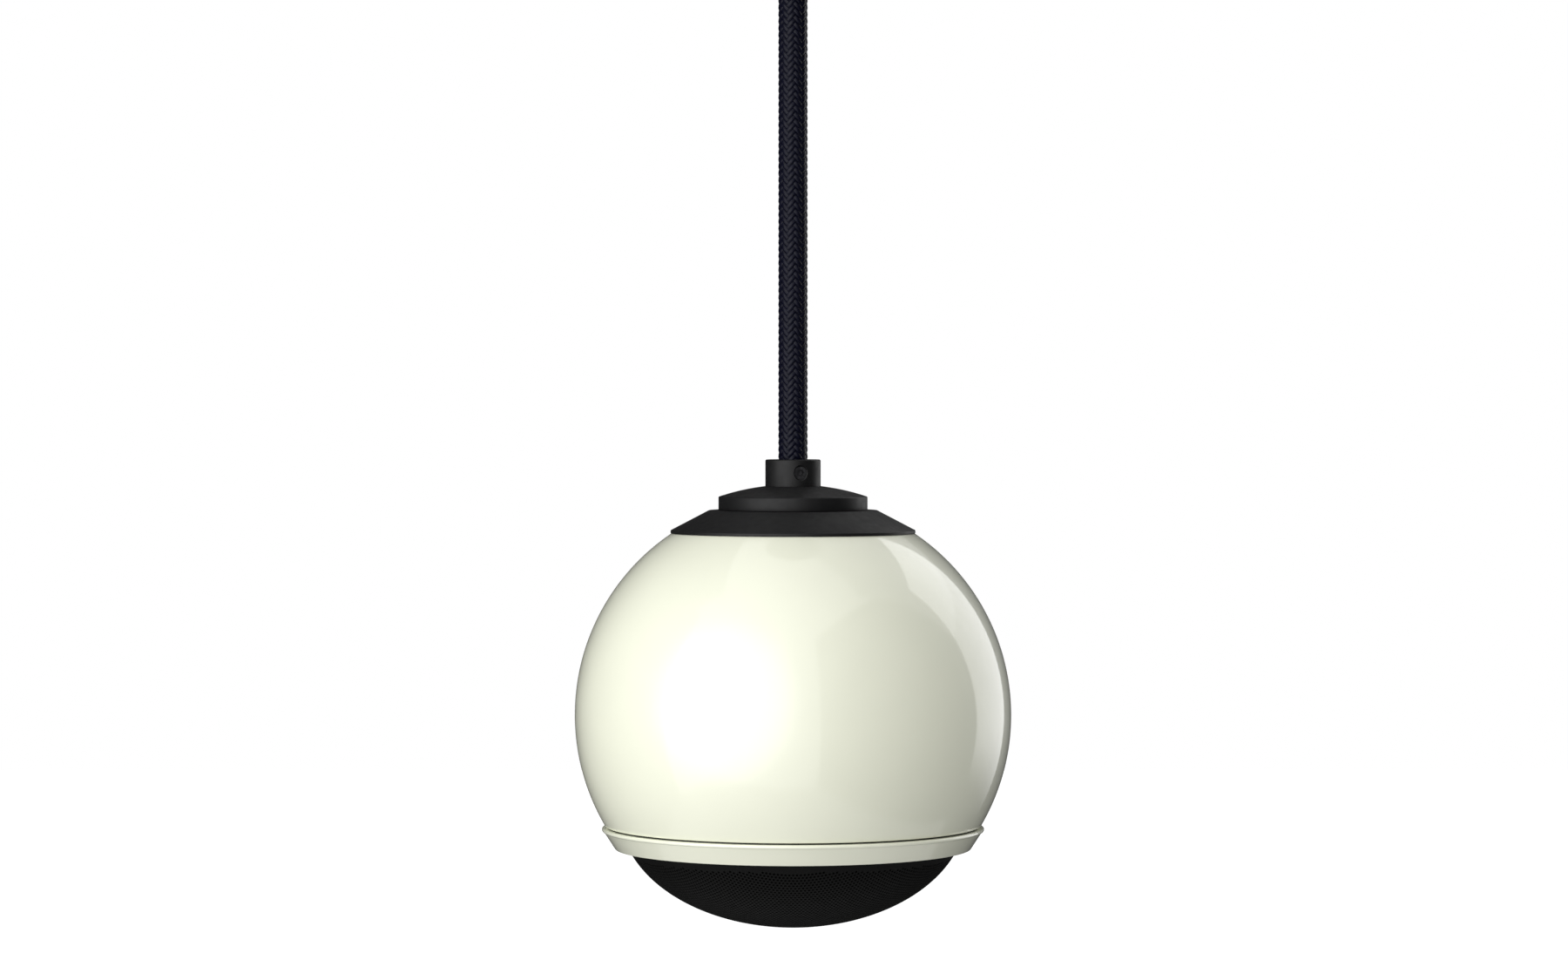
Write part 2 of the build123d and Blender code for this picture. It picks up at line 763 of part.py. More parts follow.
# Foam gasket between the ledge and the driver
with BuildPart() as driver_gasket:
    with BuildSketch(Plane.XY.offset(frame_back_z)) as gasket_plan:
        Circle(frame_radius)
        Circle(ledge_radius, mode=Mode.SUBTRACT)
        with PolarLocations(screw_circle_radius, screw_count, start_angle=screw_start):
            Circle(screw_radius + slip, mode=Mode.SUBTRACT)
    extrude(amount=driver_gasket_sheet)
finish(driver_gasket, "driver_gasket")

# Driver frame: a flange, a windowed cone, a shelf for the spider, a neck and a seat for the motor
surround_outer_radius = frame_opening_radius + surround_foot + slip
cone_wall_slope = (frame_opening_radius - frame_shelf_radius) / (shelf_z - frame_face_z)
frame_outer_foot = frame_opening_radius - cone_wall_slope * frame_flange_sheet + frame_wall
shelf_outer_radius = frame_shelf_radius - cone_wall_slope * frame_sheet + frame_wall
with BuildPart() as basket:
    turn(
        (frame_radius, frame_face_z),
        (frame_radius, frame_back_z),
        (frame_outer_foot, frame_back_z),
        (shelf_outer_radius, shelf_z + frame_sheet),
        (frame_neck_radius, shelf_z + frame_sheet),
        (frame_neck_radius, seat_z),
        (frame_seat_radius, seat_z),
        (frame_seat_radius, seat_z - frame_sheet),
        (frame_neck_radius - frame_sheet, seat_z - frame_sheet),
        (frame_neck_radius - frame_sheet, shelf_z),
        (frame_shelf_radius, shelf_z),
        (frame_opening_radius, frame_face_z + surround_sheet),
        (surround_outer_radius, frame_face_z + surround_sheet),
        (surround_outer_radius, frame_face_z),
    )
    with BuildSketch(Plane.XY.offset(frame_back_z + slip)) as windows:
        with PolarLocations(window_radius, window_count, start_angle=180 / window_count):
            RectangleRounded(window_length, window_width, window_corner_radius)
    extrude(amount=shelf_z - frame_back_z, mode=Mode.SUBTRACT)
    with BuildSketch(Plane.XY.offset(shelf_z)) as terminal_tab:
        with Locations(((frame_shelf_radius + tab_reach) / 2, 0)):
            Rectangle(tab_reach - frame_shelf_radius, tab_width)
    extrude(amount=frame_sheet)
    with Locations(Plane(origin=(0, 0, frame_face_z), z_dir=(0, 0, -1))):
        with PolarLocations(screw_circle_radius, screw_count, start_angle=screw_start):
            CounterSinkHole(
                radius=screw_radius + slip,
                counter_sink_radius=screw_head_radius + thread_slip,
                depth=frame_flange_sheet,
                counter_sink_angle=90,
            )
finish(basket, "basket")

# Countersunk screws from below through the flange into the ring's ledge
with BuildPart() as driver_screws:
    for screw_number in range(screw_count):
        screw_angle = math.radians(screw_start + screw_number * 360 / screw_count)
        screw_x = screw_circle_radius * math.cos(screw_angle)
        screw_y = screw_circle_radius * math.sin(screw_angle)
        head_depth = screw_head_radius - screw_radius
        with BuildSketch(Plane(origin=(screw_x, screw_y, 0), x_dir=(1, 0, 0), z_dir=(0, -1, 0))) as screw:
            with BuildLine():
                Polyline(
                    (0, frame_face_z),
                    (screw_head_radius, frame_face_z),
                    (screw_radius - thread_slip, frame_face_z + head_depth + thread_slip),
                    (screw_radius - thread_slip, frame_face_z + screw_length),
                    (0, frame_face_z + screw_length),
                    close=True,
                )
            make_face()
        revolve(screw.sketch, axis=Axis((screw_x, screw_y, 0), (0, 0, 1)))
        with Locations((screw_x, screw_y, frame_face_z)):
            Box(2 * screw_head_radius, driver_slot_width, driver_slot_depth, mode=Mode.SUBTRACT)
            Box(driver_slot_width, 2 * screw_head_radius, driver_slot_depth, mode=Mode.SUBTRACT)
finish(driver_screws, "driver_screws")

# Rubber surround: a half roll towards the front between two glued feet
roll_centre = frame_opening_radius - surround_roll_radius
roll_inner = surround_roll_radius - surround_sheet
surround_inner_radius = roll_centre - surround_roll_radius - cone_rim_width
with BuildPart() as surround:
    with BuildSketch(Plane.XZ) as surround_section:
        with BuildLine():
            inside_roll = ThreePointArc(
                (roll_centre + roll_inner, frame_face_z),
                (roll_centre, frame_face_z - roll_inner),
                (roll_centre - roll_inner, frame_face_z),
            )
            outside_roll = ThreePointArc(
                (roll_centre - surround_roll_radius, frame_face_z),
                (roll_centre, frame_face_z - surround_roll_radius),
                (roll_centre + surround_roll_radius, frame_face_z),
            )
            Polyline(
                inside_roll @ 1,
                (roll_centre - roll_inner, foot_top_z),
                (surround_inner_radius, foot_top_z),
                (surround_inner_radius, frame_face_z),
                outside_roll @ 0,
            )
            Polyline(
                outside_roll @ 1,
                (frame_opening_radius + surround_foot, frame_face_z),
                (frame_opening_radius + surround_foot, foot_top_z),
                (roll_centre + roll_inner, foot_top_z),
                inside_roll @ 0,
            )
        make_face()
    revolve(axis=Axis.Z)
finish(surround, "surround")

# Paper cone: a short neck on the coil former, a straight flare and a flat rim on the surround's foot
cone_rim_radius = roll_centre - surround_roll_radius
cone_neck_radius = former_radius + former_sheet + glue_line
cone_slope = cone_depth / (surround_inner_radius - cone_neck_radius)
with BuildPart() as cone:
    turn(
        (cone_neck_radius, cone_throat_z),
        (surround_inner_radius, foot_top_z),
        (cone_rim_radius, foot_top_z),
        (cone_rim_radius, foot_top_z + cone_sheet),
        (surround_inner_radius + cone_sheet / 2, foot_top_z + cone_sheet),
        (cone_neck_radius + cone_sheet, cone_throat_z + cone_sheet),
        (cone_neck_radius + cone_sheet, cone_throat_z + cone_neck_height),
        (cone_neck_radius, cone_throat_z + cone_neck_height),
    )
finish(cone, "cone")

# Dust cap: a shallow dome glued to the front of the cone
cap_edge_z = cone_throat_z - (cap_radius - cone_neck_radius) * cone_slope - 2 * glue_line
cap_top_z = cap_edge_z - cap_rise
cap_middle_z = cap_top_z + dome_drop(cap_radius, cap_rise, cap_radius / 2)
with BuildPart() as dust_cap:
    with BuildSketch(Plane.XZ) as cap_section:
        with BuildLine():
            cap_back = ThreePointArc(
                (0, cap_top_z),
                (cap_radius / 2, cap_middle_z),
                (cap_radius, cap_edge_z),
            )
            cap_front = ThreePointArc(
                (0, cap_top_z - cap_sheet),
                (cap_radius / 2, cap_middle_z - cap_sheet),
                (cap_radius, cap_edge_z - cap_sheet),
            )
            Line(cap_back @ 0, cap_front @ 0)
            Line(cap_back @ 1, cap_front @ 1)
        make_face()
    revolve(axis=Axis.Z)
finish(dust_cap, "dust_cap")

# Voice coil: a thin former from the cone's throat into the motor's gap, with its winding
coil_middle_z = seat_z + top_plate_sheet / 2
with BuildPart() as coil_former:
    turn_ring(
        former_radius,
        former_radius + former_sheet,
        cone_throat_z - former_sheet,
        coil_middle_z + winding_height / 2 + former_tail,
    )
finish(coil_former, "coil_former")

winding_inner_radius = former_radius + former_sheet
with BuildPart() as coil_winding:
    turn_ring(
        winding_inner_radius + glue_line,
        winding_inner_radius + winding_sheet,
        coil_middle_z - winding_height / 2,
        coil_middle_z + winding_height / 2,
    )
finish(coil_winding, "coil_winding")

# Spider: corrugated cloth disc that centres the coil, glued under the frame's shelf
spider_inner_radius = former_radius + former_sheet + glue_line
wave_start = spider_inner_radius + spider_collar
wave_end = frame_neck_radius - frame_sheet - slip
spider_radius = frame_shelf_radius - spider_edge_gap
wave_step = (wave_end - wave_start) / (2 * spider_wave_count)
with BuildPart() as spider:
    with BuildSketch(Plane.XZ) as spider_section:
        with BuildLine():
            Line((spider_inner_radius, spider_low_z), (wave_start, spider_low_z))
            Line((spider_inner_radius, shelf_z), (wave_start, shelf_z))
            for wave in range(2 * spider_wave_count):
                near = wave_start + wave * wave_step
                height = spider_wave_height * (-1) ** (wave + 1)
                for level in (spider_low_z, shelf_z):
                    ThreePointArc(
                        (near, level),
                        (near + wave_step / 2, level + height),
                        (near + wave_step, level),
                    )
            Line((wave_end, spider_low_z), (spider_radius, spider_low_z))
            Line((wave_end, shelf_z), (spider_radius, shelf_z))
            Line((spider_inner_radius, spider_low_z), (spider_inner_radius, shelf_z))
            Line((spider_radius, spider_low_z), (spider_radius, shelf_z))
        make_face()
    revolve(axis=Axis.Z)
finish(spider, "spider")

# Motor: top plate on the frame's seat, ferrite ring, and back plate with its pole
with BuildPart() as top_plate:
    turn_ring(coil_bore_radius, top_plate_radius, seat_z, magnet_z)
finish(top_plate, "top_plate")

with BuildPart() as magnet:
    turn_ring(magnet_bore_radius, magnet_radius, magnet_z, back_plate_z)
    chamfer(magnet.edges().filter_by(GeomType.CIRCLE).group_by(SortBy.RADIUS)[-1], magnet_edge)
finish(magnet, "magnet")

with BuildPart() as back_plate:
    turn(
        (pole_vent_radius, seat_z),
        (pole_radius, seat_z),
        (pole_radius, back_plate_z),
        (top_plate_radius, back_plate_z),
        (top_plate_radius, motor_top_z),
        (pole_vent_radius, motor_top_z),
    )
finish(back_plate, "back_plate")

# Terminal strip on the frame's tab
strip_z = shelf_z + frame_sheet
with BuildPart() as terminal_strip:
    with BuildSketch(Plane.XY.offset(strip_z)) as strip_plan:
        with Locations((tab_reach - strip_length / 2, 0)):
            Rectangle(strip_length, tab_width)
    extrude(amount=strip_sheet)
finish(terminal_strip, "terminal_strip")

# Terminal lugs: bent tabs, one for each lead
blade_z = strip_z + strip_sheet
with BuildPart() as terminal_lugs:
    with BuildSketch(Plane.XY.offset(blade_z)) as lug_feet:
        with Locations((lug_offset, 0)):
            with GridLocations(0, lug_spacing, 1, 2):
                Rectangle(tab_foot_length, tab_blade_width)
    extrude(amount=tab_blade_sheet)
    with BuildSketch(Plane.XY.offset(blade_z)) as lug_blades:
        with Locations((lug_offset, 0)):
            with GridLocations(0, lug_spacing, 1, 2):
                Rectangle(tab_blade_sheet, tab_blade_width)
    extrude(amount=tab_blade_height)
finish(terminal_lugs, "terminal_lugs")

# Spade connectors pushed down onto the blades, each with a crimp barrel for its lead
spade_z = blade_z + tab_blade_sheet + spade_lift
barrel_z = spade_z + spade_height
barrel_top_z = barrel_z + spade_barrel_height
barrel_bore_radius = core_radius + glue_line
with BuildPart() as spade_connectors:
    with BuildSketch(Plane.XY.offset(spade_z)) as spade_bodies:
        with Locations((lug_offset, 0)):
            with GridLocations(0, lug_spacing, 1, 2):
                Rectangle(
                    tab_blade_sheet + 2 * (thread_slip + spade_wall),
                    tab_blade_width + 2 * (thread_slip + spade_wall),
                )
    extrude(amount=spade_height)
    with BuildSketch(Plane.XY.offset(barrel_z)) as barrels:
        with Locations((lug_offset, 0)):
            with GridLocations(0, lug_spacing, 1, 2):
                Circle(barrel_bore_radius + spade_barrel_wall)
    extrude(amount=spade_barrel_height)
    with BuildSketch(Plane.XY.offset(spade_z)) as blade_slots:
        with Locations((lug_offset, 0)):
            with GridLocations(0, lug_spacing, 1, 2):
                Rectangle(tab_blade_sheet + 2 * thread_slip, tab_blade_width + 2 * thread_slip)
    extrude(amount=spade_height - spade_wall, mode=Mode.SUBTRACT)
    with BuildSketch(Plane.XY.offset(barrel_top_z)) as barrel_bores:
        with Locations((lug_offset, 0)):
            with GridLocations(0, lug_spacing, 1, 2):
                Circle(barrel_bore_radius)
    extrude(amount=-lead_engagement, mode=Mode.SUBTRACT)
finish(spade_connectors, "spade_connectors")

# The cord's two cores in the ball, from its end over the motor and down to the connectors
lead_turn_radius = magnet_radius - lead_turn_inset
for core_side, core_name in ((1, "positive"), (-1, "negative")):
    lead_route = [
        (0, core_side * core_offset, cord_bottom),
        (0, core_side * core_offset, lead_bend_z),
        (lead_turn_radius, core_side * lug_spacing / 2, lead_bend_z - lead_slope),
        (lug_offset, core_side * lug_spacing / 2, motor_top_z + lead_plate_gap),
        (lug_offset, core_side * lug_spacing / 2, barrel_top_z - lead_engagement),
    ]
    with BuildPart() as lead:
        with BuildLine() as lead_path:
            FilletPolyline(*lead_route, radius=bend_radii(lead_route))
        with BuildSketch(Plane(origin=lead_path.line @ 0, z_dir=lead_path.line % 0)):
            Circle(core_radius)
        sweep()
    finish(lead, f"lead_{core_name}")

# Grille: a pressed dome of perforated sheet with a short plain skirt in the ring's bore
grille_half_width = grille_radius + grille_tuck
dome_centre_z = ring_bottom_z + grille_half_depth * math.sqrt(1 - (grille_radius / grille_half_width) ** 2)
inner_half_width = grille_half_width - grille_sheet
inner_half_depth = grille_half_depth - grille_sheet
inner_skirt_radius = grille_radius - grille_sheet
outer_angle = math.degrees(math.acos(grille_radius / grille_half_width))
inner_angle = math.degrees(math.acos(inner_skirt_radius / inner_half_width))
hole_limit = grille_radius - grille_border
hole_rows = 2 * math.ceil(hole_limit / (grille_hole_pitch * math.cos(math.pi / 6))) + 1
hole_pattern = HexLocations(grille_hole_pitch / 2, hole_rows, hole_rows).local_locations
hole_centres = [place for place in hole_pattern if place.position.length < hole_limit]
with BuildPart() as grille:
    with BuildSketch(Plane.XZ) as grille_section:
        with BuildLine():
            outer_dome = EllipticalCenterArc(
                (0, dome_centre_z),
                grille_half_width,
                grille_half_depth,
                start_angle=-90,
                arc_size=90 - outer_angle,
            )
            inner_dome = EllipticalCenterArc(
                (0, dome_centre_z),
                inner_half_width,
                inner_half_depth,
                start_angle=-90,
                arc_size=90 - inner_angle,
            )
            Polyline(
                outer_dome @ 1,
                (grille_radius, frame_face_z - grille_rim_gap),
                (inner_skirt_radius, frame_face_z - grille_rim_gap),
                inner_dome @ 1,
            )
            Line(outer_dome @ 0, inner_dome @ 0)
        make_face()
    revolve(axis=Axis.Z)
    with BuildSketch(Plane.XY.offset(dome_centre_z - grille_half_depth)) as perforation:
        with Locations(*hole_centres):
            RegularPolygon(grille_hole_flats / 2, 6, major_radius=False, rotation=30)
    extrude(amount=grille_half_depth, mode=Mode.SUBTRACT)
finish(grille, "grille")
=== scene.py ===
"""Looks of the pendant speaker: a glossy cream ball with black caps and a black grille, on a textile cord.

Everything is in metres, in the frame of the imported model: the origin is on the ceiling, +Z points up
and the front, where the collar's grub screw shows, faces -Y.
"""

import json
import math

import bmesh
import bpy
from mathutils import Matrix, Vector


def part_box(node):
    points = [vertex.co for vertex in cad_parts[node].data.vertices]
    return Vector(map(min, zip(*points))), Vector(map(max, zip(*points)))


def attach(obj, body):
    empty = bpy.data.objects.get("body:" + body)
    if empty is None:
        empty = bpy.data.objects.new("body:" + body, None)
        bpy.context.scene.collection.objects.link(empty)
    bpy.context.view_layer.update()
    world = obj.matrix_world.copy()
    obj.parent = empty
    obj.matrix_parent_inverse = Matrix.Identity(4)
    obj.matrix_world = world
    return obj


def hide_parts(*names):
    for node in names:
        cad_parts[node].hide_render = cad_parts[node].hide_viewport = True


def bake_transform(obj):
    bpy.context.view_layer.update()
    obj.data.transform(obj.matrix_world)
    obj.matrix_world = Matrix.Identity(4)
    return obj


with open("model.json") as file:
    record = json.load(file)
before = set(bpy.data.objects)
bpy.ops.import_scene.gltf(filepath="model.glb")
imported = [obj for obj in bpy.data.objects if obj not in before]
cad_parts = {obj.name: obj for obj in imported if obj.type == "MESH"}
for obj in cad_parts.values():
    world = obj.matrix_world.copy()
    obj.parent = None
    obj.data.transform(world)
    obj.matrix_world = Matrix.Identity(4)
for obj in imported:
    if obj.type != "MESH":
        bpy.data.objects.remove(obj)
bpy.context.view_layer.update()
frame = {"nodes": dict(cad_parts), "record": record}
scene = bpy.context.scene
MM = 0.001
MERGE_DISTANCE = MM / 1000

# Main radii and heights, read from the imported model
ball_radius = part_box("ball_shell")[1].y
deck_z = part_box("ball_shell")[1].z
mouth_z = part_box("ball_shell")[0].z
deck_radius = 27.1 * MM
ball_z = deck_z - math.sqrt(ball_radius**2 - deck_radius**2)
mouth_radius = math.sqrt(ball_radius**2 - (ball_z - mouth_z) ** 2)


def deselect():
    """Leave nothing selected, so that the next operator works on its own piece alone."""
    bpy.ops.object.select_all(action="DESELECT")


def pick(piece):
    """Select one piece and make it the active one."""
    deselect()
    piece.select_set(True)
    bpy.context.view_layer.objects.active = piece


def choose(piece, kind, test):
    """In edit mode, select only the vertices, edges or faces that pass a test."""
    bpy.ops.mesh.select_mode(type=kind)
    bpy.ops.mesh.select_all(action="DESELECT")
    shape = bmesh.from_edit_mesh(piece.data)
    parts = {"VERT": shape.verts, "EDGE": shape.edges, "FACE": shape.faces}[kind]
    for part in parts:
        if test(part):
            part.select_set(True)
    shape.select_flush_mode()
    bmesh.update_edit_mesh(piece.data)


def apply_modifier(piece, kind, **settings):
    """Add a modifier to a piece, set it and apply it."""
    pick(piece)
    modifier = piece.modifiers.new(kind.lower(), kind)
    for setting, value in settings.items():
        setattr(modifier, setting, value)
    bpy.ops.object.modifier_apply(modifier=modifier.name)


def settle(piece, merge=False):
    """Turn every face of a piece outwards, and merge the points that lie together if that is asked."""
    pick(piece)
    bpy.ops.object.mode_set(mode="EDIT")
    bpy.ops.mesh.select_all(action="SELECT")
    if merge:
        bpy.ops.mesh.remove_doubles(threshold=MERGE_DISTANCE)
    bpy.ops.mesh.normals_make_consistent(inside=False)
    bpy.ops.object.mode_set(mode="OBJECT")


def round_edges(piece, width, limit=40):
    """Break the real edges of a piece with a small round, and merge the points that meet on a short face."""
    apply_modifier(
        piece,
        "BEVEL",
        width=width,
        segments=3,
        limit_method="ANGLE",
        angle_limit=math.radians(limit),
    )
    settle(piece, merge=True)


def smooth(piece, angle=35):
    """Shade a piece smooth, with its real edges left crisp."""
    pick(piece)
    bpy.ops.object.shade_smooth_by_angle(angle=math.radians(angle))


def arc(middle_radius, middle_z, radius, start, end, steps):
    """Points of a round stretch of an outline, from one angle above the horizontal to another."""
    angles = [math.radians(start + (end - start) * step / steps) for step in range(steps + 1)]
    return [
        (middle_radius + radius * math.cos(angle), middle_z + radius * math.sin(angle))
        for angle in angles
    ]


def turned(name, outline, steps, turn=360):
    """Turn a closed outline of (radius, height) points about the cord's line, a whole turn or a part."""
    deselect()
    bpy.ops.mesh.primitive_plane_add(size=MM, location=(0, 0, 0))
    piece = bpy.context.object
    piece.name = name
    piece.data.name = name
    bpy.ops.object.mode_set(mode="EDIT")
    bpy.ops.mesh.select_mode(type="VERT")
    bpy.ops.mesh.merge(type="CENTER")
    bpy.ops.transform.translate(value=(outline[0][0], 0, outline[0][1]))
    for here, there in zip(outline, outline[1:] + outline[:1]):
        step = (there[0] - here[0], 0, there[1] - here[1])
        bpy.ops.mesh.extrude_vertices_move(TRANSFORM_OT_translate={"value": step})
    bpy.ops.mesh.select_all(action="SELECT")
    bpy.ops.mesh.remove_doubles(threshold=MERGE_DISTANCE)
    bpy.ops.mesh.spin(steps=steps, angle=math.radians(turn), center=(0, 0, 0), axis=(0, 0, 1))
    bpy.ops.mesh.select_all(action="SELECT")
    bpy.ops.mesh.remove_doubles(threshold=MERGE_DISTANCE)
    if turn < 360:
        bpy.ops.mesh.fill_holes(sides=0)
    bpy.ops.mesh.normals_make_consistent(inside=False)
    bpy.ops.object.mode_set(mode="OBJECT")
    return piece


def dress(piece, slot, *replaced, body="housing"):
    """Give a finished piece its finish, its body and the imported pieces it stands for."""
    piece.data.materials.clear()
    piece.data.materials.append(finishes[slot])
    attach(piece, body)
    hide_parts(*replaced)


# Camera: level, a metre away, a little above the ball
camera_distance = 1.03
camera_rise = 0.0725
sensor_width = 36
view_width = 0.3596
axis_offset = 0.00206
view_drop = 0.0586
bpy.ops.object.camera_add(
    location=(-axis_offset, -camera_distance, ball_z + camera_rise),
    rotation=(math.pi / 2, 0, 0),
)
camera = bpy.context.object
camera.data.sensor_width = sensor_width
camera.data.lens = sensor_width * camera_distance / view_width
camera.data.shift_y = -view_drop
scene.camera = camera

# Studio: a white background, a pale floor far below, soft lamps and grey cards for the reflections
lamp_distance = 1.5
card_distance = 2.1
floor_drop = 2.5
floor_size = 60
floor_grey = 0.6
floor_glow = 0.8
ambient_light = 0.55


def face_the_ball(thing, turn, lift, distance):
    """Place a lamp or a card to the right of the camera and above the ball, by degrees, facing it."""
    side = math.radians(turn)
    up = math.radians(lift)
    thing.location = (
        distance * math.sin(side) * math.cos(up),
        -distance * math.cos(side) * math.cos(up),
        ball_z + distance * math.sin(up),
    )
    away = thing.location.copy()
    away.z -= ball_z
    thing.rotation_mode = "QUATERNION"
    thing.rotation_quaternion = away.to_track_quat("Z", "Y")
    thing.visible_camera = False


def soft_lamp(name, turn, lift, width, height, power):
    """A soft rectangular lamp."""
    bpy.ops.object.light_add(type="AREA")
    lamp = bpy.context.object
    lamp.name = name
    lamp.data.shape = "RECTANGLE"
    lamp.data.size = width
    lamp.data.size_y = height
    lamp.data.energy = power
    face_the_ball(lamp, turn, lift, lamp_distance)
    return lamp


def matte(name, grey):
    """A plain matte material for what isn't part of the speaker."""
    material = bpy.data.materials.new(name)
    material.use_nodes = True
    shader = material.node_tree.nodes["Principled BSDF"]
    shader.inputs["Base Color"].default_value = (grey, grey, grey, 1)
    shader.inputs["Roughness"].default_value = 1
    shader.inputs["Specular IOR Level"].default_value = 0
    return material


def reflection_card(name, grey, turn, lift, width, height):
    """A studio card that shows in reflections alone and shades nothing."""
    deselect()
    bpy.ops.mesh.primitive_plane_add(size=1)
    card = bpy.context.object
    card.name = name
    card.scale = (width, height, 1)
    face_the_ball(card, turn, lift, card_distance)
    card.data.materials.append(matte(name, grey))
    card.visible_diffuse = False
    card.visible_shadow = False


def lamp_fade(lamp):
    """Give a lamp nodes whose smooth step sets its light, with the place of each ray on the lamp's face."""
    lamp.data.use_nodes = True
    nodes = lamp.data.node_tree.nodes
    links = lamp.data.node_tree.links
    place = nodes.new("ShaderNodeNewGeometry")
    fade = nodes.new("ShaderNodeMapRange")
    fade.interpolation_type = "SMOOTHSTEP"
    links.new(fade.outputs[0], nodes["Emission"].inputs["Strength"])
    return nodes, links, place.outputs["Parametric"], fade


def fade_edges(lamp, full_share):
    """Let a lamp's light fade from a share of its half width out to its rim, as a soft box does."""
    nodes, links, place, fade = lamp_fade(lamp)
    from_middle = nodes.new("ShaderNodeVectorMath")
    from_middle.operation = "DISTANCE"
    from_middle.inputs[1].default_value = (0.5, 0.5, 0)
    fade.inputs["From Min"].default_value = full_share / 2
    fade.inputs["From Max"].default_value = 0.5
    fade.inputs["To Min"].default_value = 1
    fade.inputs["To Max"].default_value = 0
    links.new(place, from_middle.inputs[0])
    links.new(from_middle.outputs["Value"], fade.inputs["Value"])


def fade_down(lamp, full_from):
    """Let a lamp's light fade from this share of its height down to its lower edge."""
    nodes, links, place, fade = lamp_fade(lamp)
    apart = nodes.new("ShaderNodeSeparateXYZ")
    fade.inputs["From Max"].default_value = full_from
    links.new(place, apart.inputs[0])
    links.new(apart.outputs["Y"], fade.inputs["Value"])


key_lamp = soft_lamp("key_lamp", turn=-39, lift=9, width=3.0, height=3.0, power=65)
fade_edges(key_lamp, full_share=0.5)
side_lamp = soft_lamp("side_lamp", turn=128.4, lift=12, width=0.98, height=2.1, power=11.3)
fade_down(side_lamp, full_from=0.3)
side_lamp.visible_diffuse = False
back_lamp = soft_lamp("back_lamp", turn=180, lift=10, width=1, height=1, power=14)
back_lamp.visible_glossy = False
reflection_card("right_card", grey=0.02, turn=65, lift=0, width=5.15, height=6)
reflection_card("left_card", grey=0.03, turn=-118, lift=0, width=4.6, height=6)
reflection_card("back_card", grey=0.06, turn=165, lift=0, width=5, height=6)
reflection_card("top_card", grey=0.85, turn=142, lift=54, width=2.8, height=2.2)
reflection_card("high_card", grey=0.1, turn=-115, lift=46, width=1.8, height=1.6)
reflection_card("low_card", grey=0.7, turn=0, lift=-90, width=6, height=6)

# The floor is white to the camera and in reflections, and keeps the speaker's shadow
deselect()
bpy.ops.mesh.primitive_plane_add(size=floor_size, location=(0, 0, ball_z - floor_drop))
floor = bpy.context.object
floor.name = "floor"
floor_paint = matte("floor_paint", floor_grey)
floor_paint.node_tree.nodes["Principled BSDF"].inputs["Emission Color"].default_value = (1, 1, 1, 1)
floor.data.materials.append(floor_paint)


def shown_or_reflected(nodes, links):
    """A number that is 1 for what the camera, a reflection or glass sees directly."""
    ray = nodes.new("ShaderNodeLightPath")
    seen = nodes.new("ShaderNodeMath")
    seen_or_clear = nodes.new("ShaderNodeMath")
    seen_or_clear.use_clamp = True
    links.new(ray.outputs["Is Camera Ray"], seen.inputs[0])
    links.new(ray.outputs["Is Glossy Ray"], seen.inputs[1])
    links.new(seen.outputs[0], seen_or_clear.inputs[0])
    links.new(ray.outputs["Is Transmission Ray"], seen_or_clear.inputs[1])
    return seen_or_clear.outputs[0]


floor_nodes = floor_paint.node_tree.nodes
floor_links = floor_paint.node_tree.links
glow = floor_nodes.new("ShaderNodeMath")
glow.operation = "MULTIPLY"
glow.inputs[1].default_value = floor_glow
floor_links.new(shown_or_reflected(floor_nodes, floor_links), glow.inputs[0])
floor_links.new(glow.outputs[0], floor_nodes["Principled BSDF"].inputs["Emission Strength"])

scene.view_settings.view_transform = "Standard"
world = bpy.data.worlds.new("studio")
scene.world = world
world.use_nodes = True
world_nodes = world.node_tree.nodes
world_links = world.node_tree.links
world_nodes.clear()
ambient = world_nodes.new("ShaderNodeBackground")
ambient.inputs["Color"].default_value = (1, 1, 1, 1)
ambient.inputs["Strength"].default_value = ambient_light
backdrop = world_nodes.new("ShaderNodeBackground")
backdrop.inputs["Color"].default_value = (1, 1, 1, 1)
backdrop.inputs["Strength"].default_value = 1
mixed = world_nodes.new("ShaderNodeMixShader")
sky = world_nodes.new("ShaderNodeOutputWorld")
world_links.new(shown_or_reflected(world_nodes, world_links), mixed.inputs[0])
world_links.new(ambient.outputs[0], mixed.inputs[1])
world_links.new(backdrop.outputs[0], mixed.inputs[2])
world_links.new(mixed.outputs[0], sky.inputs[0])


# Between these two values lies most of a noise pattern
NOISE_LOW = 0.3
NOISE_HIGH = 0.7


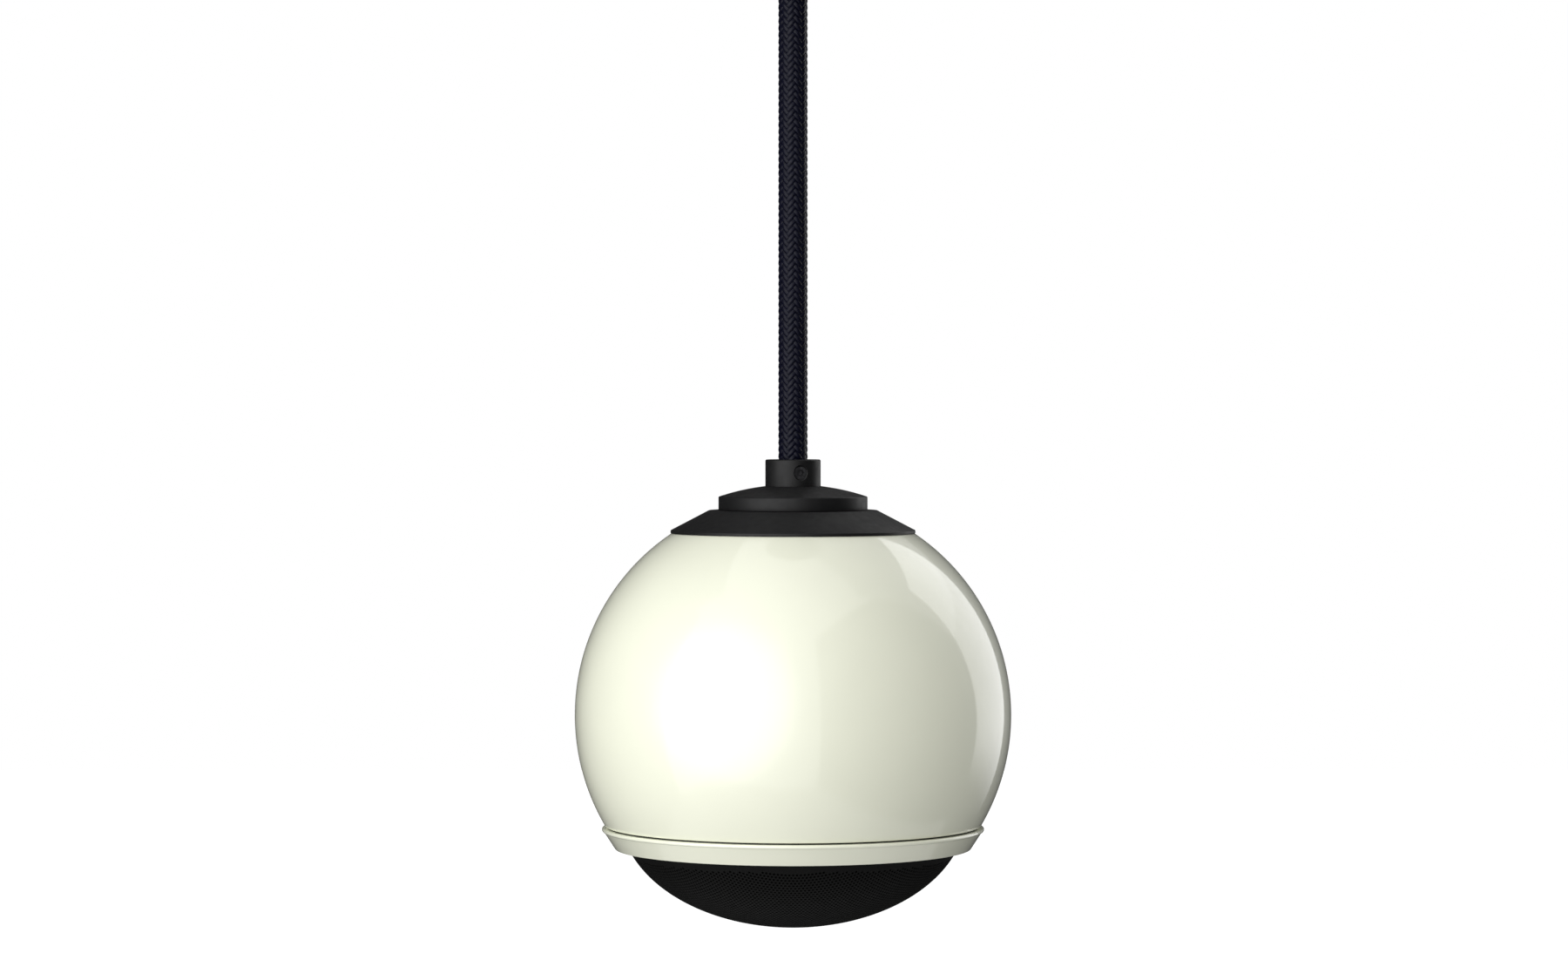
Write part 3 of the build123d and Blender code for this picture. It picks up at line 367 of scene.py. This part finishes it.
class Finish:
    """A procedural finish, with its patterns in metres on the piece itself."""

    def __init__(self, name, colour, roughness, **values):
        self.material = bpy.data.materials.new(name)
        self.material.use_nodes = True
        self.nodes = self.material.node_tree.nodes
        self.links = self.material.node_tree.links
        self.shader = self.nodes["Principled BSDF"]
        self.colour = colour
        self.relief = None
        self.shader.inputs["Base Color"].default_value = (*colour, 1)
        self.shader.inputs["Roughness"].default_value = roughness
        for socket, value in values.items():
            self.shader.inputs[socket.replace("_", " ")].default_value = value

    def noise(self, size, detail=3.0, stretch=(1, 1, 1)):
        """Grains of about this size, drawn out along an axis where its stretch is under 1."""
        place = self.nodes.new("ShaderNodeTexCoord")
        spread = self.nodes.new("ShaderNodeMapping")
        spread.inputs["Scale"].default_value = stretch
        grain = self.nodes.new("ShaderNodeTexNoise")
        grain.inputs["Scale"].default_value = 1 / size
        grain.inputs["Detail"].default_value = detail
        self.links.new(place.outputs["Object"], spread.inputs["Vector"])
        self.links.new(spread.outputs[0], grain.inputs["Vector"])
        return grain.outputs["Fac"]

    def span(self, pattern, low, high):
        """A number that runs from low to high with a pattern."""
        spread = self.nodes.new("ShaderNodeMapRange")
        spread.inputs["From Min"].default_value = NOISE_LOW
        spread.inputs["From Max"].default_value = NOISE_HIGH
        spread.inputs["To Min"].default_value = low
        spread.inputs["To Max"].default_value = high
        self.links.new(pattern, spread.inputs["Value"])
        return spread.outputs[0]

    def shade(self, pattern, darkest):
        """Colour that runs from a darker shade of the finish's own colour up to it."""
        blend = self.nodes.new("ShaderNodeMix")
        blend.data_type = "RGBA"
        blend.inputs["A"].default_value = (*[value * darkest for value in self.colour], 1)
        blend.inputs["B"].default_value = (*self.colour, 1)
        self.links.new(self.span(pattern, 0, 1), blend.inputs["Factor"])
        self.links.new(blend.outputs["Result"], self.shader.inputs["Base Color"])

    def gloss(self, pattern, low, high):
        """Roughness that runs from low to high with a pattern."""
        self.links.new(self.span(pattern, low, high), self.shader.inputs["Roughness"])

    def emboss(self, pattern, depth):
        """A fine relief of this depth, laid over the last one."""
        bump = self.nodes.new("ShaderNodeBump")
        bump.inputs["Distance"].default_value = depth
        self.links.new(pattern, bump.inputs["Height"])
        if self.relief:
            self.links.new(self.relief, bump.inputs["Normal"])
        self.relief = bump.outputs[0]
        self.links.new(self.relief, self.shader.inputs["Normal"])


def paint(name, colour, roughness, grain, depth, **values):
    """Sprayed paint: a faint drift of tone, slightly uneven gloss and the spray's fine relief."""
    finish = Finish(name, colour, roughness, **values)
    finish.shade(finish.noise(18 * MM, 2), 0.975)
    finish.gloss(finish.noise(2 * MM), roughness * 0.9, roughness * 1.1)
    finish.emboss(finish.noise(grain), depth)
    return finish.material


def moulded(name, colour, roughness, grain, depth, **values):
    """Moulded plastic, rubber or sintered ferrite with a fine grain."""
    finish = Finish(name, colour, roughness, **values)
    finish.shade(finish.noise(5 * MM), 0.8)
    finish.gloss(finish.noise(1.5 * MM), roughness * 0.85, roughness * 1.1)
    finish.emboss(finish.noise(grain, 4), depth)
    return finish.material


def metal(name, colour, roughness, stretch=(1, 1, 1)):
    """Bare or plated metal with fine tool marks and slightly uneven gloss."""
    finish = Finish(name, colour, roughness, Metallic=1)
    finish.shade(finish.noise(6 * MM), 0.82)
    finish.gloss(finish.noise(0.8 * MM, 4, stretch), roughness * 0.75, roughness * 1.3)
    finish.emboss(finish.noise(0.3 * MM, 3, stretch), 0.004 * MM)
    return finish.material


def fibres(name, colour, roughness, thread, depth, darkest, **values):
    """Paper, cloth or wadding, whose fibres lie every way."""
    finish = Finish(name, colour, roughness, **values)
    finish.shade(finish.noise(thread * 3), darkest)
    for stretch in ((0.25, 1, 1), (1, 0.25, 1), (1, 1, 0.25)):
        finish.emboss(finish.noise(thread, 4, stretch), depth)
    return finish.material


def braid_yarn(name, colour, roughness, threads, depth, **values):
    """Polyester yarn: each strand is a few threads side by side, and its edges lie in shade."""
    finish = Finish(name, colour, roughness, **values)
    nodes = finish.nodes
    links = finish.links
    strand = nodes.new("ShaderNodeUVMap")
    strand.uv_map = "strand"
    split = nodes.new("ShaderNodeSeparateXYZ")
    links.new(strand.outputs[0], split.inputs[0])
    across = nodes.new("ShaderNodeMath")
    across.operation = "MULTIPLY"
    across.inputs[1].default_value = threads * 2 * math.pi
    links.new(split.outputs["Y"], across.inputs[0])
    ridge = nodes.new("ShaderNodeMath")
    ridge.operation = "SINE"
    links.new(across.outputs[0], ridge.inputs[0])
    lifted = nodes.new("ShaderNodeMath")
    lifted.operation = "MULTIPLY_ADD"
    lifted.inputs[1].default_value = 0.5
    lifted.inputs[2].default_value = 0.5
    links.new(ridge.outputs[0], lifted.inputs[0])
    finish.shade(finish.noise(0.35 * MM, 4), 0.45)
    finish.gloss(finish.noise(0.8 * MM), roughness * 0.8, roughness * 1.1)
    finish.emboss(lifted.outputs[0], depth)
    finish.emboss(finish.noise(0.1 * MM, 2), depth * 0.6)
    return finish.material


finishes = {
    "ball_paint": paint(
        "ball_paint",
        (0.845, 0.86, 0.71),
        0.42,
        2.5 * MM,
        0.002 * MM,
        Coat_Weight=1.0,
        Coat_Roughness=0.07,
    ),
    "cap_paint": paint(
        "cap_paint", (0.0075, 0.0075, 0.0078), 0.5, 0.22 * MM, 0.004 * MM, Specular_IOR_Level=0.22
    ),
    "grille_paint": paint(
        "grille_paint", (0.0065, 0.0065, 0.0064), 0.5, 0.2 * MM, 0.004 * MM, Specular_IOR_Level=0.06
    ),
    "textile_cord": braid_yarn(
        "textile_cord", (0.0028, 0.0032, 0.0125), 0.45, 4, 0.018 * MM, Specular_IOR_Level=0.15
    ),
    "core_insulation_red": moulded(
        "core_insulation_red", (0.42, 0.02, 0.015), 0.4, 0.4 * MM, 0.004 * MM
    ),
    "core_insulation_black": moulded(
        "core_insulation_black", (0.012, 0.012, 0.013), 0.4, 0.4 * MM, 0.004 * MM
    ),
    "zinc_steel": metal("zinc_steel", (0.5, 0.51, 0.5), 0.42),
    "black_screw": metal("black_screw", (0.1, 0.1, 0.105), 0.42),
    "block_nylon": moulded("block_nylon", (0.72, 0.71, 0.66), 0.5, 0.3 * MM, 0.01 * MM),
    "gasket_rubber": moulded("gasket_rubber", (0.016, 0.016, 0.016), 0.8, 0.25 * MM, 0.02 * MM),
    "polyester_fill": fibres("polyester_fill", (0.78, 0.78, 0.76), 0.95, 0.5 * MM, 0.15 * MM, 0.8),
    "frame_plastic": moulded("frame_plastic", (0.02, 0.02, 0.021), 0.55, 0.3 * MM, 0.015 * MM),
    "surround_rubber": moulded("surround_rubber", (0.014, 0.014, 0.015), 0.6, 0.3 * MM, 0.006 * MM),
    "cone_paper": fibres("cone_paper", (0.022, 0.021, 0.02), 0.85, 0.4 * MM, 0.02 * MM, 0.6),
    "former_sheet": moulded("former_sheet", (0.25, 0.09, 0.02), 0.35, 0.5 * MM, 0.003 * MM),
    "copper_wire": metal("copper_wire", (0.72, 0.28, 0.12), 0.3, (1, 1, 12)),
    "spider_cloth": fibres("spider_cloth", (0.42, 0.26, 0.07), 0.9, 0.25 * MM, 0.04 * MM, 0.6),
    "ferrite": moulded("ferrite", (0.045, 0.045, 0.047), 0.6, 0.2 * MM, 0.02 * MM),
    "strip_board": fibres("strip_board", (0.16, 0.07, 0.03), 0.5, 0.3 * MM, 0.01 * MM, 0.7),
    "tinned_brass": metal("tinned_brass", (0.70, 0.66, 0.56), 0.3),
}

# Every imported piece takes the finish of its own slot
for entry in frame["record"]["subparts"]:
    packed = frame["nodes"][entry["node"]]
    packed.data.materials.clear()
    packed.data.materials.append(finishes[entry["material_slot"]])

# Ball: spun metal with a flat deck and an open mouth, its edges softened by the paint
round_steps = 216
cap_steps = 180
ball_wall = 1.5 * MM
tube_hole_radius = 5.1 * MM
inner_radius = ball_radius - ball_wall
outer_top = math.degrees(math.asin((deck_z - ball_z) / ball_radius))
outer_foot = math.degrees(math.asin((mouth_z - ball_z) / ball_radius))
inner_top = math.degrees(math.asin((deck_z - ball_wall - ball_z) / inner_radius))
inner_foot = math.degrees(math.asin((mouth_z - ball_z) / inner_radius))
ball = turned(
    "ball",
    arc(0, ball_z, ball_radius, outer_top, outer_foot, 64)
    + arc(0, ball_z, inner_radius, inner_foot, inner_top, 32)
    + [(tube_hole_radius, deck_z - ball_wall), (tube_hole_radius, deck_z)],
    steps=round_steps,
)
round_edges(ball, 0.25 * MM)
smooth(ball)
dress(ball, "ball_paint", "ball_shell")

# Front ring: a spigot with three snap lugs, a groove, a bead, a tapered band and the driver's ledge.
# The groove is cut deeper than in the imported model, so that it stays a dark line.
bead_radius = 0.45 * MM
groove_height = 0.35 * MM
groove_radius = mouth_radius - 1.15 * MM
ring_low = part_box("front_ring")[0].z
ring_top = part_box("front_ring")[1].z
ring_foot_radius = mouth_radius - 2.27 * MM
ring_bore_radius = ring_foot_radius - 2.9 * MM
ledge_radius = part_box("surround")[1].y
ledge_z = ring_low + 4 * MM
ledge_top = ledge_z + 2.6 * MM
spigot_wall = 1.8 * MM
spigot_radius = inner_radius * math.cos(math.radians(inner_foot)) - 0.2 * MM
bead_middle_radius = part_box("front_ring")[1].y - bead_radius
bead_z = mouth_z - groove_height - bead_radius
lug_height = 1.6 * MM
lug_reach = 0.9 * MM
lug_half_width = 4.6 * MM
lug_turn = math.radians(120)
wall_tolerance = 0.1 * MM
upright_limit = 0.1
front_ring = turned(
    "front_ring_band",
    arc(bead_middle_radius, bead_z, bead_radius, 90, -90, 10)
    + [
        (ring_foot_radius, ring_low),
        (ring_bore_radius, ring_low),
        (ring_bore_radius, ledge_z),
        (ledge_radius, ledge_z),
        (ledge_radius, ledge_top),
        (spigot_radius - spigot_wall, ledge_top),
        (spigot_radius - spigot_wall, ring_top),
        (spigot_radius, ring_top),
        (spigot_radius, ring_top - lug_height),
        (spigot_radius, mouth_z),
        (groove_radius, mouth_z),
        (groove_radius, mouth_z - groove_height),
    ],
    steps=round_steps,
)


def on_a_lug(face):
    """Whether a face of the spigot's outer wall lies at one of the three snap lugs."""
    middle = face.calc_center_median()
    high = middle.z > ring_top - lug_height
    outside = middle.xy.length > spigot_radius - wall_tolerance and abs(face.normal.z) < upright_limit
    turns = math.atan2(middle.y, middle.x) / lug_turn
    aside = abs(turns - round(turns)) * lug_turn * spigot_radius
    return high and outside and aside < lug_half_width


pick(front_ring)
bpy.ops.object.mode_set(mode="EDIT")
choose(front_ring, "FACE", on_a_lug)
bpy.ops.mesh.extrude_region_shrink_fatten(
    TRANSFORM_OT_shrink_fatten={"value": lug_reach, "use_even_offset": True}
)
bpy.ops.object.mode_set(mode="OBJECT")
round_edges(front_ring, 0.12 * MM)
smooth(front_ring)
dress(front_ring, "ball_paint", "front_ring")

# Dark rubber ring at the bottom of the groove, between the ball and its ring: painted shade that keeps the
# groove a dark line
shade_seal_outer = groove_radius + 0.45 * MM
shade_seal_inner = groove_radius - 0.1 * MM
shade_seal_top = mouth_z - 0.01 * MM
shade_seal_low = mouth_z - groove_height
shade_seal = turned(
    "groove_shade_seal",
    [(shade_seal_inner, shade_seal_top), (shade_seal_outer, shade_seal_top), (shade_seal_outer, shade_seal_low), (shade_seal_inner, shade_seal_low)],
    steps=round_steps,
)
smooth(shade_seal)
dress(shade_seal, "gasket_rubber")

# Conical flange, hollow underneath, with its hub and six ribs
flange_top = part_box("cap_flange")[1].z
flange_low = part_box("cap_flange")[0].z
flange_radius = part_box("cap_flange")[1].y
flange_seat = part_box("flange_gasket")[1].z
flange_top_radius = 19.3 * MM
flange_wall = 1.8 * MM
flange_rim = 0.7 * MM
flange_gap = 0.15 * MM
hub_radius = 8.5 * MM
rib_width = 1.6 * MM
rib_count = 6
rim_inner_radius = flange_radius - flange_wall
flange = turned(
    "flange",
    [
        (tube_hole_radius, flange_seat),
        (hub_radius, flange_seat),
        (hub_radius, flange_top - flange_wall),
        (flange_top_radius - flange_wall / 2, flange_top - flange_wall),
        (rim_inner_radius, flange_low + flange_rim + flange_gap),
        (rim_inner_radius, deck_z + flange_gap),
        (deck_radius, deck_z + flange_gap),
        (flange_radius, flange_low),
        (flange_radius, flange_low + flange_rim),
        (flange_top_radius, flange_top),
        (tube_hole_radius, flange_top),
    ],
    steps=cap_steps,
)
round_edges(flange, 0.16 * MM, 24)
rib_reach = flange_top_radius - hub_radius
rib_height = flange_top - flange_wall - flange_seat
rib_middle = hub_radius + rib_reach / 2 - flange_gap
deselect()
for rib_number in range(rib_count):
    rib_turn = rib_number * 2 * math.pi / rib_count
    bpy.ops.mesh.primitive_cube_add(
        size=1,
        location=(
            rib_middle * math.cos(rib_turn),
            rib_middle * math.sin(rib_turn),
            flange_seat + rib_height / 2 + flange_gap,
        ),
        rotation=(0, 0, rib_turn),
        scale=(rib_reach, rib_width, rib_height),
    )
    rib = bpy.context.object
    bpy.ops.object.transform_apply(location=True, rotation=True, scale=True)
    pick(flange)
    rib.select_set(True)
    bpy.ops.object.join()
smooth(flange)
dress(flange, "cap_paint", "cap_flange")

# Domed disc, bored for the collar and relieved underneath
dome_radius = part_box("cap_dome")[1].y
dome_wall_top = flange_top + 3.1 * MM
dome_relief = 1.2 * MM
dome_relief_radius = dome_radius - 3.1 * MM
collar_bore_radius = 6.4 * MM
collar_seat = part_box("cord_collar")[0].z
full_rise = 2.8 * MM
dome_curve = (dome_radius**2 + full_rise**2) / (2 * full_rise)
dome_middle_z = dome_wall_top + full_rise - dome_curve
dome = turned(
    "dome",
    [
        (tube_hole_radius, flange_top),
        (hub_radius, flange_top),
        (hub_radius, flange_top + dome_relief),
        (dome_relief_radius, flange_top + dome_relief),
        (dome_relief_radius, flange_top),
        (dome_radius, flange_top),
    ]
    + arc(
        0,
        dome_middle_z,
        dome_curve,
        math.degrees(math.acos(dome_radius / dome_curve)),
        math.degrees(math.acos(collar_bore_radius / dome_curve)),
        14,
    )
    + [(collar_bore_radius, collar_seat), (tube_hole_radius, collar_seat)],
    steps=cap_steps,
)
round_edges(dome, 0.2 * MM)
smooth(dome)
dress(dome, "cap_paint", "cap_dome")

# Cord: a sleeve braided of 24 strands over a round core, straight because the speaker's weight pulls it
cord_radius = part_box("cord")[1].y
cord_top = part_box("cord")[1].z
cord_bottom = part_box("cord")[0].z
exit_run = 40 * MM
cord_route = [
    (0, 0, cord_top),
    (0, 0, cord_top - exit_run),
    (0, 0, cord_bottom + exit_run),
    (0, 0, cord_bottom),
]
strand_count = 12
strand_lay = 19 * MM
strand_width = 1.16 * MM
strand_sheet = 0.3 * MM
strand_wave = 0.16 * MM
strand_rise = 0.1 * MM
points_per_crossing = 4
core_sides = 24
strand_section = ((-0.5, -0.3), (-0.42, 0.2), (0, 0.5), (0.42, 0.2), (0.5, -0.3))
core_radius = 2.72 * MM


def route_line(name, route):
    """Points close together along the smooth line through a cord's route."""
    curve = bpy.data.curves.new(name, "CURVE")
    curve.dimensions = "3D"
    curve.resolution_u = 32
    spline = curve.splines.new("NURBS")
    spline.points.add(len(route) - 1)
    for point, place in zip(spline.points, route):
        point.co = (*place, 1)
    spline.order_u = 3
    spline.use_endpoint_u = True
    holder = bpy.data.objects.new(name, curve)
    scene.collection.objects.link(holder)
    bpy.context.view_layer.update()
    seen = holder.evaluated_get(bpy.context.evaluated_depsgraph_get())
    line = bpy.data.meshes.new_from_object(seen)
    places = [vertex.co.copy() for vertex in line.vertices]
    bpy.data.objects.remove(holder)
    bpy.data.meshes.remove(line)
    return places


def stations(line, count):
    """Evenly spaced stations along a line: distance, place, direction and two sideways directions."""
    runs = [(there - here).length for here, there in zip(line, line[1:])]
    whole = sum(runs)
    found = []
    run = 0
    passed = 0
    for number in range(count + 1):
        distance = whole * number / count
        while run < len(runs) - 1 and passed + runs[run] < distance:
            passed += runs[run]
            run += 1
        along = (line[run + 1] - line[run]).normalized()
        place = line[run] + along * (distance - passed)
        front = along.cross((1, 0, 0)).normalized()
        found.append((distance, place, along, front, along.cross(front)))
    return found


def add_tube(shape, rings, uv_rings):
    """Add a closed tube through rings of points to a shape, as its faces and their UVs."""
    points, faces, uvs = shape
    first = len(points)
    size = len(rings[0])
    for ring in rings:
        points.extend(ring)
    for step in range(len(rings) - 1):
        for side in range(size):
            near = first + step * size
            far = near + size
            after = (side + 1) % size
            faces.append((near + side, near + after, far + after, far + side))
            near_u = uv_rings[step]
            far_u = uv_rings[step + 1]
            uvs.append(
                (
                    (near_u, side / size),
                    (near_u, (side + 1) / size),
                    (far_u, (side + 1) / size),
                    (far_u, side / size),
                )
            )
    for start in (first, first + (len(rings) - 1) * size):
        faces.append(tuple(range(start, start + size)))
        uvs.append(tuple((0, 0) for side in range(size)))


def add_strand(shape, places, number, lean):
    """Add one strand, which winds round the cord, over two strands of the other lean and under two."""
    middle_radius = cord_radius + strand_rise - strand_wave - strand_sheet / 2
    slope = math.atan2(2 * math.pi * middle_radius, strand_lay)
    rings = []
    marks = []
    for distance, place, along, front, side in places:
        turn = 2 * math.pi * (number / strand_count + lean * distance / strand_lay)
        outwards = front * math.cos(turn) + side * math.sin(turn)
        around = side * math.cos(turn) - front * math.sin(turn)
        across = around * math.cos(slope) - along * lean * math.sin(slope)
        crossing = 2 * number + lean * 2 * strand_count * distance / strand_lay
        lift = lean * strand_wave * math.cos(math.pi / 2 * (crossing - 0.5))
        middle = place + outwards * (middle_radius + lift)
        rings.append(
            [
                middle + across * (x * strand_width) + outwards * (y * strand_sheet)
                for x, y in strand_section
            ]
        )
        marks.append(distance / strand_width)
    add_tube(shape, rings, marks)


cord_line = route_line("cord_route", cord_route)
cord_length = sum((there - here).length for here, there in zip(cord_line, cord_line[1:]))
crossings = cord_length * 2 * strand_count / strand_lay
cord_places = stations(cord_line, round(crossings * points_per_crossing))
cord_shape = ([], [], [])
core_rings = [
    [
        place
        + front * core_radius * math.cos(2 * math.pi * corner / core_sides)
        + side * core_radius * math.sin(2 * math.pi * corner / core_sides)
        for corner in range(core_sides)
    ]
    for distance, place, along, front, side in (cord_places[0], cord_places[-1])
]
add_tube(cord_shape, core_rings, (0, 1))
for strand_number in range(strand_count):
    add_strand(cord_shape, cord_places, strand_number, 1)
    add_strand(cord_shape, cord_places, strand_number, -1)
cord_mesh = bpy.data.meshes.new("braided_cord")
cord_mesh.from_pydata(cord_shape[0], [], cord_shape[1])
strand_map = cord_mesh.uv_layers.new(name="strand")
flat_uvs = [value for face in cord_shape[2] for corner in face for value in corner]
strand_map.data.foreach_set("uv", flat_uvs)
braided_cord = bpy.data.objects.new("braided_cord", cord_mesh)
scene.collection.objects.link(braided_cord)
settle(braided_cord)
smooth(braided_cord, 60)
dress(braided_cord, "textile_cord", "cord")

# Grille: fine perforated sheet, pressed into a dome with a short plain skirt
hole_pitch = 0.96 * MM
hole_reach = 0.36 * hole_pitch
grid_columns = 92
grid_rows = 106
holes_end = 43 * MM
plain_start = 43.5 * MM
grille_sheet = 0.8 * MM
grille_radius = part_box("grille")[1].y
grille_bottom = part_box("grille")[0].z
grille_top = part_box("grille")[1].z
dome_half_width = grille_radius + 2.01 * MM
dome_half_depth = 26.17 * MM
grille_middle_z = grille_bottom + dome_half_depth
skirt_turn = math.asin(grille_radius / dome_half_width)
arc_steps = 600
bevel_end = holes_end - 1.5 * hole_pitch
ragged_start = holes_end - 1.06 * hole_pitch
hole_area = 1.5 * math.sqrt(3) * hole_reach**2
hole_area_tolerance = 0.08
plain_sides = 288
first_ring = 0.1 * MM
rim_tolerance = 0.01 * MM


def dome_arcs():
    """Distances along the dome from its lowest point, one for each small step of its angle."""
    distances = [0.0]
    for step in range(arc_steps):
        turn = skirt_turn * (step + 0.5) / arc_steps
        run = math.hypot(dome_half_width * math.cos(turn), dome_half_depth * math.sin(turn))
        distances.append(distances[-1] + run * skirt_turn / arc_steps)
    return distances


dome_distances = dome_arcs()
skirt_start = dome_distances[-1]


def on_the_dome(distance):
    """Radius and height of the pressed sheet at a distance from its lowest point along it."""
    if distance >= skirt_start:
        skirt_z = grille_middle_z - dome_half_depth * math.cos(skirt_turn)
        return grille_radius, skirt_z + distance - skirt_start
    step = 0
    jump = arc_steps
    while jump > 1:
        jump //= 2
        if dome_distances[min(step + jump, arc_steps)] <= distance:
            step += jump
    while step < arc_steps - 1 and dome_distances[step + 1] <= distance:
        step += 1
    share = (distance - dome_distances[step]) / (dome_distances[step + 1] - dome_distances[step])
    turn = skirt_turn * (step + share) / arc_steps
    return dome_half_width * math.sin(turn), grille_middle_z - dome_half_depth * math.cos(turn)


deselect()
bpy.ops.mesh.primitive_grid_add(
    x_subdivisions=grid_columns,
    y_subdivisions=grid_rows,
    size=grid_columns * hole_pitch,
    location=(0, 0, 0),
)
grille = bpy.context.object
grille.name = "perforated_grille"
grille.data.name = "perforated_grille"
row_step = grid_columns * hole_pitch / grid_rows
bpy.ops.object.mode_set(mode="EDIT")
choose(grille, "VERT", lambda corner: round(corner.co.y / row_step + grid_rows / 2) % 2 == 1)
bpy.ops.transform.translate(value=(hole_pitch / 2, 0, 0))
bpy.ops.mesh.select_all(action="SELECT")
bpy.ops.mesh.quads_convert_to_tris(quad_method="SHORTEST_DIAGONAL")
choose(grille, "VERT", lambda corner: corner.co.length > holes_end)
bpy.ops.mesh.delete(type="VERT")
choose(grille, "VERT", lambda corner: corner.co.length < bevel_end)
bpy.ops.mesh.bevel(affect="VERTICES", offset_type="OFFSET", offset=hole_reach, segments=1)
choose(
    grille,
    "FACE",
    lambda face: len(face.verts) == 6 and abs(face.calc_area() / hole_area - 1) < hole_area_tolerance,
)
bpy.ops.mesh.delete(type="FACE")
bpy.ops.mesh.select_all(action="DESELECT")
bpy.ops.mesh.primitive_circle_add(vertices=plain_sides, radius=plain_start, location=(0, 0, 0))
choose(
    grille,
    "EDGE",
    lambda edge: len(edge.link_faces) < 2
    and min(corner.co.length for corner in edge.verts) > ragged_start,
)
bpy.ops.mesh.fill()
skirt_height = grille_top - (grille_middle_z - dome_half_depth * math.cos(skirt_turn))
plain_rings = [first_ring, skirt_start - plain_start - first_ring, skirt_height / 2, skirt_height / 2]
reached = plain_start
for ring_width in plain_rings:
    choose(
        grille,
        "EDGE",
        lambda edge: len(edge.link_faces) < 2 and edge.verts[0].co.length > reached - rim_tolerance,
    )
    bpy.ops.mesh.extrude_edges_move()
    spread = (reached + ring_width) / reached
    bpy.ops.transform.resize(value=(spread, spread, 1), center_override=(0, 0, 0))
    reached += ring_width
bpy.ops.object.mode_set(mode="OBJECT")
for corner in grille.data.vertices:
    flat_distance = corner.co.length
    radius, height = on_the_dome(flat_distance)
    if flat_distance > 0:
        corner.co *= radius / flat_distance
    corner.co.z = height
settle(grille)
apply_modifier(grille, "SOLIDIFY", thickness=grille_sheet, offset=-1)
smooth(grille)
dress(grille, "grille_paint", "grille")


# Surround and spider: each is made as a ring of sectors between the frame and the cone
def flexing_ring(name, outline, slot, node):
    """Turn an outline into a ring of sectors, from the frame's radius to the cone's, in place of an imported
    piece.

    A spin turns clockwise seen from above, so a sector's middle lies half a sector before its own angle.
    """
    sector_turn = 360 / sector_count
    first = turned(name, outline, sector_steps, sector_turn)
    smooth(first)
    for number in range(sector_count):
        pick(first)
        bpy.ops.object.duplicate(linked=False)
        sector = bpy.context.object
        sector.name = f"{name}_{number + 1}"
        sector.data.name = sector.name
        sector.rotation_euler.z = math.radians(number * sector_turn)
        bpy.ops.object.transform_apply(location=False, rotation=True, scale=False)
        sector.data.materials.clear()
        sector.data.materials.append(finishes[slot])
        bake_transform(sector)
        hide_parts(node)
    bpy.data.objects.remove(first)


sector_count = 24
sector_steps = 6
surround_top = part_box("surround")[1].z
roll_radius = 2.65 * MM
roll_inner = roll_radius - 0.5 * MM
frame_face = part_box("surround")[0].z + roll_radius
frame_opening = ledge_radius - 1.9 * MM
roll_middle = frame_opening - roll_radius
cone_rim_width = 1.8 * MM
surround_bore = roll_middle - roll_radius - cone_rim_width
flexing_ring(
    "surround_sector",
    arc(roll_middle, frame_face, roll_inner, 0, -180, 14)
    + [
        (roll_middle - roll_inner, surround_top),
        (surround_bore, surround_top),
        (surround_bore, frame_face),
    ]
    + arc(roll_middle, frame_face, roll_radius, -180, 0, 14)
    + [
        (ledge_radius, frame_face),
        (ledge_radius, surround_top),
        (roll_middle + roll_inner, surround_top),
    ],
    "surround_rubber",
    "surround",
)

wave_height = 0.5 * MM
wave_count = 2
wave_points = 32
spider_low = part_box("spider")[0].z + wave_height
spider_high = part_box("spider")[1].z - wave_height
spider_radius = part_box("spider")[1].y
spider_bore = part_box("coil_former")[1].y + 0.05 * MM
wave_start = spider_bore + 1.4 * MM
wave_end = 18.4 * MM


def spider_line(level):
    """The corrugated line of the spider at one of its two faces, from its bore to its glued edge."""
    waves = [
        (
            wave_start + (wave_end - wave_start) * step / wave_points,
            level - wave_height * math.sin(2 * math.pi * wave_count * step / wave_points),
        )
        for step in range(wave_points + 1)
    ]
    return [(spider_bore, level)] + waves + [(spider_radius, level)]


flexing_ring(
    "spider_sector",
    spider_line(spider_low) + spider_line(spider_high)[::-1],
    "spider_cloth",
    "spider",
)

# Polyester fill: a soft ring of wadding under the top of the ball
fill_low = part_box("damping_fill")[0].z
fill_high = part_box("damping_fill")[1].z
fill_radius = inner_radius - 0.2 * MM
fill_bore = 14 * MM
fill_steps = 12
fill_outer_low = math.degrees(math.asin((fill_low - ball_z) / fill_radius))
fill_outer_high = math.degrees(math.asin((fill_high - ball_z) / fill_radius))
outer_wall = arc(0, ball_z, fill_radius, fill_outer_low, fill_outer_high, 6)
top_width = outer_wall[-1][0] - fill_bore
low_width = outer_wall[0][0] - fill_bore
top_face = [
    (outer_wall[-1][0] - top_width * step / fill_steps, fill_high) for step in range(1, fill_steps)
]
low_face = [(fill_bore + low_width * step / fill_steps, fill_low) for step in range(1, fill_steps)]
bore_wall = [(fill_bore, fill_high), (fill_bore, (fill_high + fill_low) / 2), (fill_bore, fill_low)]
wadding = turned("wadding", outer_wall + top_face + bore_wall + low_face, steps=120)
tufts = bpy.data.textures.new("tufts", "CLOUDS")
tufts.noise_scale = 5 * MM
tufts.noise_depth = 3
apply_modifier(
    wadding,
    "DISPLACE",
    texture=tufts,
    texture_coords="LOCAL",
    strength=-1.2 * MM,
    mid_level=0,
)
smooth(wadding, 80)
dress(wadding, "polyester_fill", "damping_fill")
